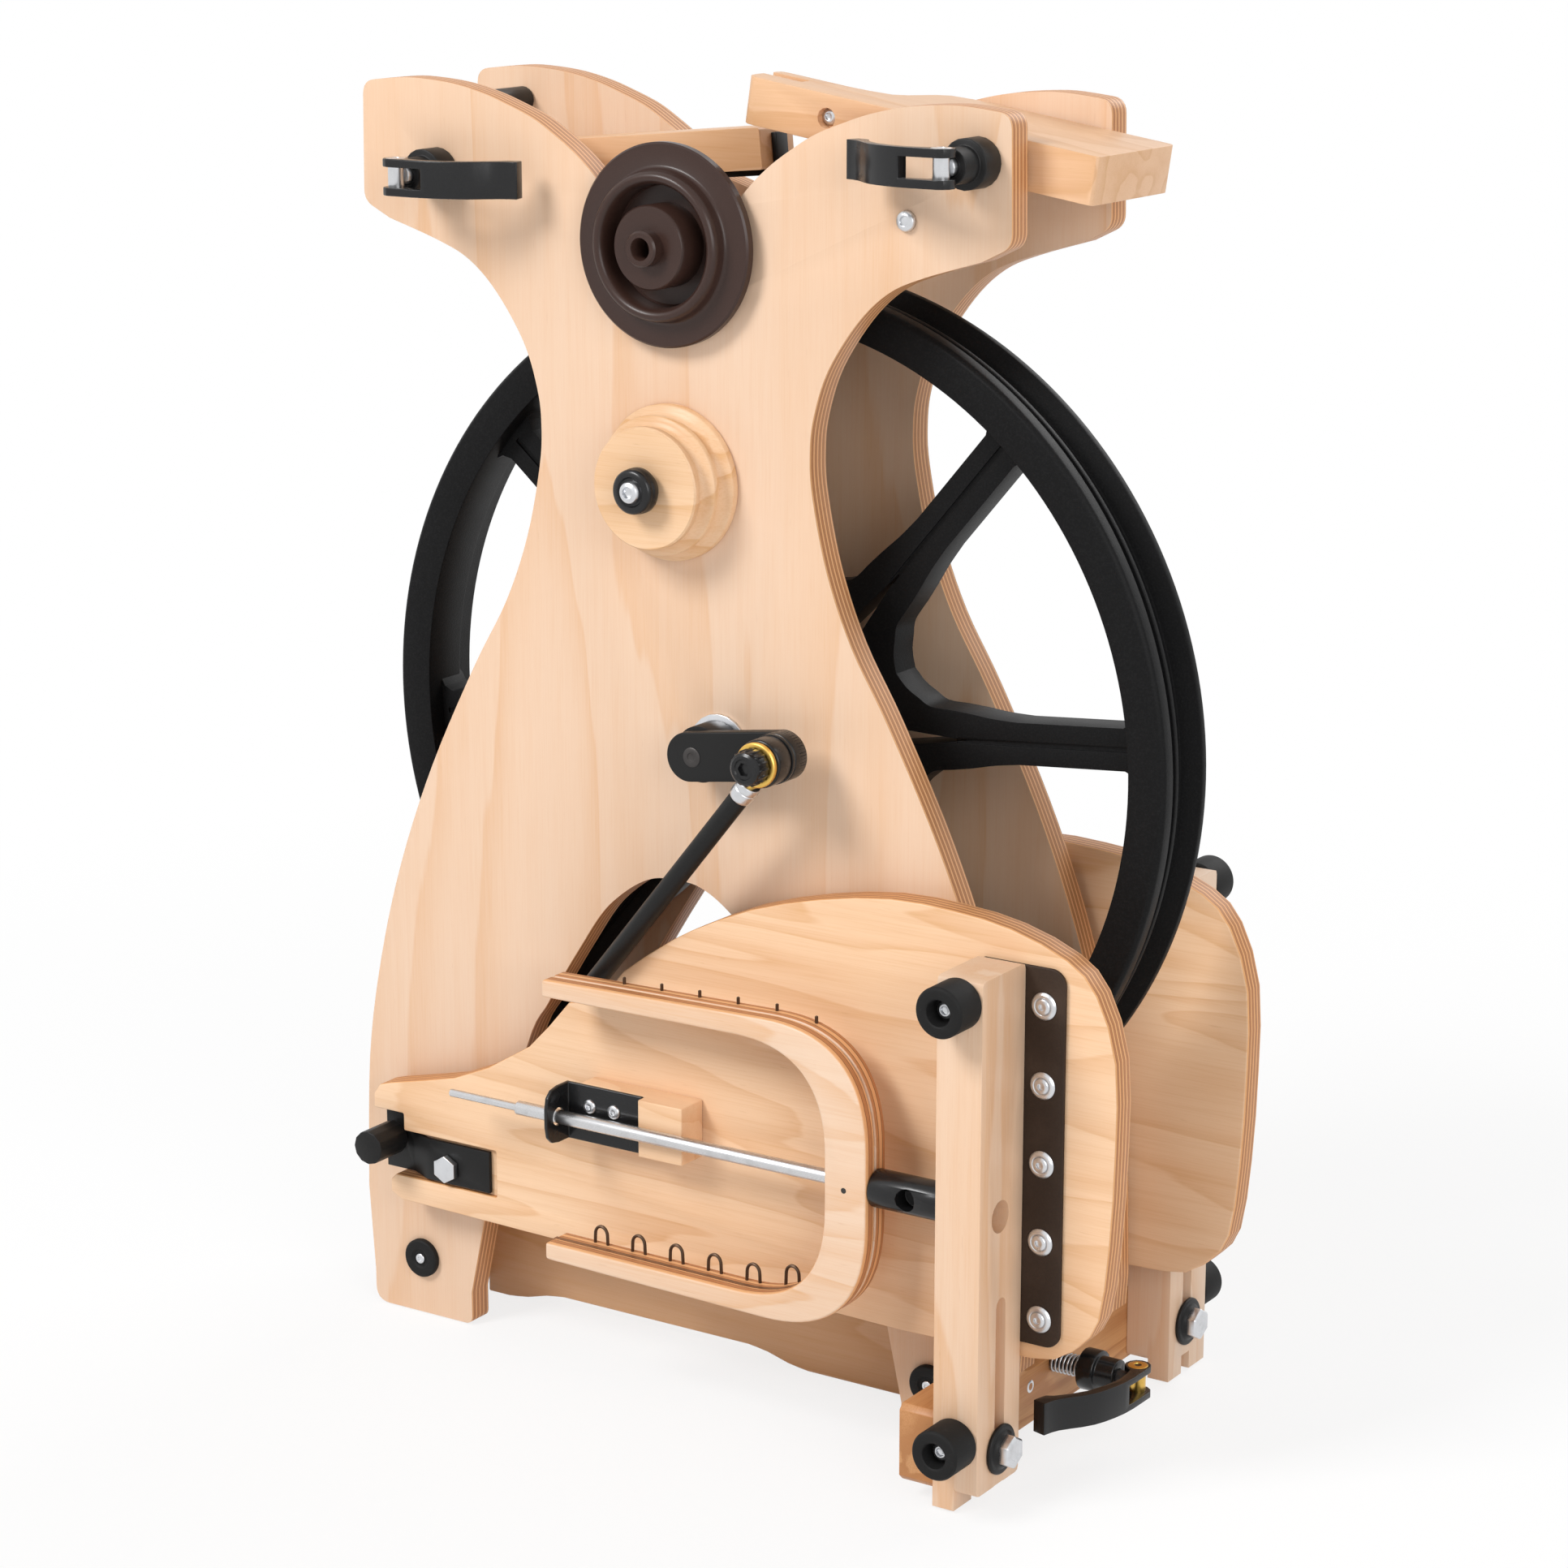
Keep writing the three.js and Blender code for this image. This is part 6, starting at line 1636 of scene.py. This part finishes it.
@dataclass
class Treadle:
    """One treadle: bar, board, leather hinge, feet, strap and bolts."""

    side: Side
    pivot_y: float = 85.0
    pivot_starts: tuple[float, float, float] = (144.3, 166.1, 169.4)
    strip: tuple[float, float, float, float] = (144.7, 184.5, 67.5, 234.0)
    strip_rounds: tuple[float, float] = (7.0, 1.0)
    strip_face: float = 66.45
    strip_thick: float = 1.8
    screws: int = 5
    screw_x: float = 174.5
    screw_first: float = 79.5
    screw_pitch: float = 34.5
    foot_x: float = 155.0
    foot_face: float = 103.75
    foot_heights: tuple[tuple[str, float], ...] = (("upper", 225.0), ("lower", 32.0))
    washer_profile: tuple[Point, ...] = (
        (3.3, 0), (11, 0), (11, 1.2), (10.2, 1.8), (8.6, 1.8), (7.6, 2.6), (7.0, 3.4), (3.3, 3.4),
        (3.3, 0))
    cup_profile: tuple[Point, ...] = (
        (0, 0), (6.0, 0), (6.0, 0.3), (5.0, 1.1), (4.0, 1.3), (3.4, 0.8), (0, 0.8))
    foot_profile: tuple[Point, ...] = (
        (0, 0), (10.2, 0), (11, 0.8), (11, 16.2), (10.2, 17.3), (9.4, 17.5), (6.3, 17.5),
        (5.6, 17.0), (5.4, 6.0), (0, 6.0))

    def build(self) -> None:
        """Dresses and builds the pieces of this side's treadle."""
        word = self.side.word
        dressed(f"{word}_bar", BAR_WOOD, 1.2, 3)
        board = BOARD_FRONT if self.side is Side.FRONT else BOARD_REAR
        dressed(f"{word}_board", board, 0.9, 3)
        dressed(f"{word}_toe_strap", MATT_BLACK, 0.35)
        dressed(f"{word}_toe_knob", MATT_BLACK, 0.7)
        dressed(f"{word}_toe_bolt", ZINC, 0.3)
        self._pivot_bolt()
        self._hinge()
        for where, height in self.foot_heights:
            self._foot(where, height)

    def _place(self, x: float, out: float, z: float) -> Vector:
        """A place so many millimetres out from the middle plane on this side."""
        return at(x, self.side.value * out, z)

    def _pivot_bolt(self) -> None:
        """Builds the pivot bolt with its black washer and hexagonal head."""
        along = Axis.X.unit
        shank_at, washer_at, head_at = (self._place(x, self.pivot_y, PIVOT_Z)
                                        for x in self.pivot_starts)
        shank = turned("shank", plain(3.2, 0, 24), shank_at, along, ZINC, 24)
        washer = turned("washer", self.washer_profile, washer_at, along, MATT_BLACK, 48, 0.2)
        head = HexHead(12.8, 4.6).build("head", head_at, along, ZINC)
        assembled(f"{self.side.word}_pivot_bolt", [shank, washer, head])

    def _hinge(self) -> None:
        """Builds the leather strip and its row of screws on cup washers."""
        left, right, low, high = self.strip
        big, small = self.strip_rounds
        outline = []
        for quarter, (x, z, radius) in enumerate((
                (right - big, high - big, big), (left + small, high - small, small),
                (left + small, low + small, small), (right - big, low + big, big))):
            outline += arc(x, z, radius, math.pi / 2 * quarter, math.pi / 2, 8)
        out, back = self.side.out, self.side.value * self.strip_face
        strip = slab("strip", outline, back, back + self.side.value * self.strip_thick,
                     STRAP_LEATHER, 0.5, 3)
        places = [self._place(self.screw_x, self.strip_face + self.strip_thick,
                              self.screw_first + self.screw_pitch * i) for i in range(self.screws)]
        cup = turned("cup", self.cup_profile, Vector(), out, ZINC, 32, 0.1, 20)
        cups = repeated("cups", cup, ZINC, places)
        head = PanHead(3.5, 1.2, 1.3).build("head", Vector(), out, ZINC)
        heads = repeated("heads", head, ZINC, [place + out * 0.8 * MM for place in places])
        assembled(f"{self.side.word}_hinge_strip", [strip, cups, heads])

    def _foot(self, where: str, height: float) -> None:
        """Builds one hollow rubber foot with the screw down in its bore.

        Args:
            where: Which foot of the bar it is.
            height: Its height over the floor.
        """
        start, out = self._place(self.foot_x, self.foot_face, height), self.side.out
        foot = turned("foot", self.foot_profile, start, out, FOOT_RUBBER, 56, 0.15)
        washer = turned("washer", plain(5.5, 6.0, 9.6), start, out, MATT_BLACK, 32)
        screw = PanHead(4.0, 2.4, 1.8).build("screw", start + out * 9.7 * MM, out, ZINC)
        assembled(f"{self.side.word}_{where}_foot", [foot, washer, screw])


@dataclass
class StoredFlyer:
    """The flyer on the front treadle, with its block and bracket."""

    axis_z: float = 130.2
    left: float = -64.0
    right: float = 105.0
    tip: tuple[float, float] = (65.5, 57.5)
    bend: tuple[float, float] = (69.0, 58.5)
    spine: float = 21.0
    corners: tuple[float, float] = (52.0, 46.0)
    tip_corner: float = 2.0
    layers: tuple[Point, ...] = ((-95.1, -87.6), (-86.5, -78.9))
    groove: float = 1.4
    core_into: float = 0.6
    plug_place: Point = (94.0, 129.0)
    lower_row: tuple[float, float] = (-42.0, 60.0)
    upper_row: tuple[float, float] = (-28.0, 72.0)
    hooks: int = 6
    hook_y: float = -82.2
    hook_wire: float = 0.74
    hook_half: float = 3.3
    hook_straight: float = 4.2
    hook_root: float = -2.5
    bracket_face: float = -79.1
    screw_places: tuple[Point, ...] = ((-49.7, 135.0), (-36.5, 134.8))

    def build(self) -> None:
        """Builds the yoke and its hooks, and dresses the other pieces."""
        self._yoke()
        dressed("flyer_shaft", STEEL_ROD, 0.2)
        dressed("orifice_tube", SATIN_BLACK, 0.5)
        dressed("storage_block", BLOCK_WOOD, 0.7, 3)
        dressed("shaft_bracket", SATIN_BLACK, 0.5, 3)
        for i, (x, z) in enumerate(self.screw_places):
            screw = PanHead(3.3, 1.5, 1.2).build(
                f"bracket_screw_{i + 1}", at(x, self.bracket_face, z), Side.FRONT.out, ZINC)
            carried(screw, "front_treadle")

    def _side(self, outer: bool, drawn_in: float = 0.0) -> list[Point]:
        """One side of the U, from the lower arm's tip round the bend to the upper arm's tip.

        Args:
            outer: Whether it is the outer side.
            drawn_in: How far it is drawn in from that side.

        Returns:
            Points of x and z.
        """
        k = 0 if outer else 1
        tip, bend = self.tip[k] - drawn_in, self.bend[k] - drawn_in
        right = self.right - (drawn_in if outer else self.spine)
        corner = self.corners[k] - drawn_in
        end = self.tip_corner if outer else 0.0
        z = self.axis_z
        return rounded([(self.left, z - tip), (right, z - bend), (right, z + bend),
                        (self.left, z + tip)], [end, corner, corner, end], 18)

    def _yoke(self) -> None:
        """Builds the yoke's two layers with the groove between them, and the hooks."""
        inner = list(reversed(self._side(False)))
        front, back = (slab("layer", self._side(True) + inner, low, high, YOKE, 1.3, 4)
                       for low, high in self.layers)
        low, high = self.layers[0][1] - self.core_into, self.layers[1][0] + self.core_into
        core = slab("core", self._side(True, self.groove) + inner, low, high, YOKE_CORE, 0)
        x, z = self.plug_place
        plug = turned("plug", plain(1.25, 0, 0.3), at(x, self.layers[0][0] + 0.2, z),
                      Side.FRONT.out, BLACK_OXIDE, 20)
        assembled("flyer_yoke", [front, back, core, plug, self._lower_hooks(),
                                 self._upper_hooks()])

    def _row(self, ends: tuple[float, float], outer: bool) -> list[Vector]:
        """Places a row of hooks along one side of the U.

        Args:
            ends: Where the row starts and ends along x.
            outer: Whether it is the top of the outer side, or else the foot of the inner one.

        Returns:
            The places, in metres.
        """
        side = self._side(outer)
        places = []
        for i in range(self.hooks):
            x = ends[0] + (ends[1] - ends[0]) * i / (self.hooks - 1)
            crossed = [za + (zb - za) * (x - xa) / (xb - xa)
                       for (xa, za), (xb, zb) in zip(side, side[1:])
                       if (xa - x) * (xb - x) <= 0 and xa != xb]
            places.append(at(x, self.hook_y, max(crossed) if outer else min(crossed)))
        return places

    def _lower_hooks(self) -> bpy.types.Object:
        """Bends the row of hooks on the lower arm.

        Returns:
            The hooks.
        """
        half, straight, root = self.hook_half, self.hook_straight, self.hook_root
        bow = [(x, straight + z * 1.2) for x, z in arc(0, 0, half, math.pi, -math.pi, 12)]
        line = [(-half * 1.08, root), *bow, (half * 1.08, root)]
        hook = tube("hook", [Vector((x, 0, z)) * MM for x, z in line], self.hook_wire,
                    DARK_BRONZE)
        return repeated("lower_hooks", hook, DARK_BRONZE, self._row(self.lower_row, False))

    def _upper_hooks(self) -> bpy.types.Object:
        """Sets the row of the hooks' stubs on the upper arm.

        Returns:
            The stubs.
        """
        r = self.hook_wire
        stub = turned("stub", [(0, -3), (r, -3), (r, 2.9), (0.45, 3.2), (0, 3.2)], Vector(),
                      Axis.Z.unit, DARK_BRONZE, 12)
        return repeated("upper_hooks", stub, DARK_BRONZE, self._row(self.upper_row, True))


# Studio


@dataclass
class Studio:
    """Camera, lamps, floor and white surroundings."""

    eye: Point = (937.6, -1432.5, 710.7)
    azimuth: float = math.radians(33.155)
    elevation: float = math.radians(14.333)
    focal_px: float = 4878.14
    image_px: float = 1932.0
    sensor_mm: float = 36.0
    lamps: tuple[tuple[str, Point, float, float], ...] = (
        ("key", (-1.1, -2.2, 2.4), 74.0, 1.1),
        ("fill", (2.3, -1.5, 1.3), 32.0, 1.6),
        ("back", (0.6, 2.2, 2.0), 36.0, 1.8))
    lamps_aim: Point = (0.0, 0.0, 0.28)
    soft_light: float = 0.3
    floor_half: float = 6.0
    floor_low: float = -0.0006
    floor_glow: float = 0.8
    floor_fade: tuple[float, float] = (0.35, 1.1)

    def build(self) -> None:
        """Sets up everything that isn't the object."""
        self._camera()
        self._floor()
        self._world()
        for name, place, power, size in self.lamps:
            self._lamp(name, Vector(place), power, size)
        bpy.context.scene.view_settings.view_transform = "Standard"

    def _camera(self) -> None:
        """Stands the camera where the photograph was taken from."""
        data = bpy.data.cameras.new("camera")
        data.sensor_fit = "HORIZONTAL"
        data.sensor_width = self.sensor_mm
        data.lens = self.sensor_mm * self.focal_px / self.image_px
        data.clip_end = 50.0
        camera = entered("camera", data)
        a, e = self.azimuth, self.elevation
        look = Vector((-math.sin(a) * math.cos(e), math.cos(a) * math.cos(e), -math.sin(e)))
        right = Vector((math.cos(a), math.sin(a), 0))
        over = right.cross(look)
        turn = Matrix((right, over, -look)).transposed().to_4x4()
        camera.matrix_world = Matrix.Translation(at(*self.eye)) @ turn
        bpy.context.scene.camera = camera

    def _floor(self) -> None:
        """Lays a pale floor that keeps a soft shadow."""
        source = bmesh.new()
        bmesh.ops.create_grid(source, x_segments=4, y_segments=4, size=self.floor_half)
        mesh = meshed("floor", source)
        mesh.transform(Matrix.Translation((0, 0, self.floor_low)))
        floor = entered("floor", mesh)
        shader = Shader("floor_white")
        shader.paint(Base_Color=(0.9, 0.9, 0.9), Roughness=0.9)
        away = shader.node("ShaderNodeVectorMath", {"operation": "LENGTH"}, {0: shader.place},
                           "Value")
        seen = shader.node("ShaderNodeLightPath", {}, {}, "Is Camera Ray")
        mirrored = shader.node("ShaderNodeLightPath", {}, {}, "Is Glossy Ray")
        glow_share = self.floor_glow + away.step(*self.floor_fade) * (1.0 - self.floor_glow)
        glow = shader.node("ShaderNodeEmission", {}, {"Color": (1, 1, 1, 1), "Strength": 1.0})
        mixed = shader.node("ShaderNodeMixShader", {}, {
            0: (seen + mirrored) * glow_share, 1: Wire(shader, shader.surface.outputs[0]),
            2: glow})
        end = shader.tree.nodes["Material Output"]
        shader.tree.links.new(mixed.socket, end.inputs["Surface"])
        mesh.materials.append(shader.material)

    def _world(self) -> None:
        """Makes the surroundings white to the camera and in reflections."""
        world = bpy.data.worlds.new("studio")
        bpy.context.scene.world = world
        world.use_nodes = True
        nodes, links = world.node_tree.nodes, world.node_tree.links
        soft, white = nodes["Background"], nodes.new("ShaderNodeBackground")
        for light, strength in ((soft, self.soft_light), (white, 1.0)):
            light.inputs["Color"].default_value = (1, 1, 1, 1)
            light.inputs["Strength"].default_value = strength
        rays = nodes.new("ShaderNodeLightPath")
        seen = rays.outputs["Is Camera Ray"]
        for kind in ("Is Transmission Ray", "Is Glossy Ray"):
            either = nodes.new("ShaderNodeMath")
            either.operation = "MAXIMUM"
            links.new(seen, either.inputs[0])
            links.new(rays.outputs[kind], either.inputs[1])
            seen = either.outputs[0]
        mixed = nodes.new("ShaderNodeMixShader")
        for i, socket in enumerate((seen, soft.outputs[0], white.outputs[0])):
            links.new(socket, mixed.inputs[i])
        links.new(mixed.outputs[0], nodes["World Output"].inputs["Surface"])

    def _lamp(self, name: str, place: Vector, power: float, size: float) -> None:
        """Hangs one soft lamp that points at the object.

        Args:
            name: Name of the lamp.
            place: Its middle, in metres.
            power: Its power, in watts.
            size: Length of its sides, in metres.
        """
        data = bpy.data.lights.new(name, "AREA")
        data.energy = power
        data.shape = "SQUARE"
        data.size = size
        lamp = entered(name, data)
        lamp.location = place
        aim = Vector(self.lamps_aim) - place
        lamp.rotation_euler = aim.to_track_quat("-Z", "Y").to_euler()


def main() -> None:
    """Builds the studio and every sub-assembly, and reports them."""
    logging.basicConfig(level=logging.INFO, format="%(message)s")
    steps: list[tuple[str, Callable[[], None]]] = [
        ("studio", Studio().build),
        ("frame", WheelFrame().build),
        ("drive wheel", DriveWheel().build),
        ("cranks and footmen", Drive().build),
        ("cam levers", CamLevers().build),
        ("maidens", Maidens().build),
        ("whorls", StoredWhorls().build),
        ("front treadle", Treadle(Side.FRONT).build),
        ("rear treadle", Treadle(Side.REAR).build),
        ("flyer", StoredFlyer().build),
    ]
    for name, build in steps:
        build()
        LOG.info("%s is built", name)


if __name__ == "__main__":
    main()
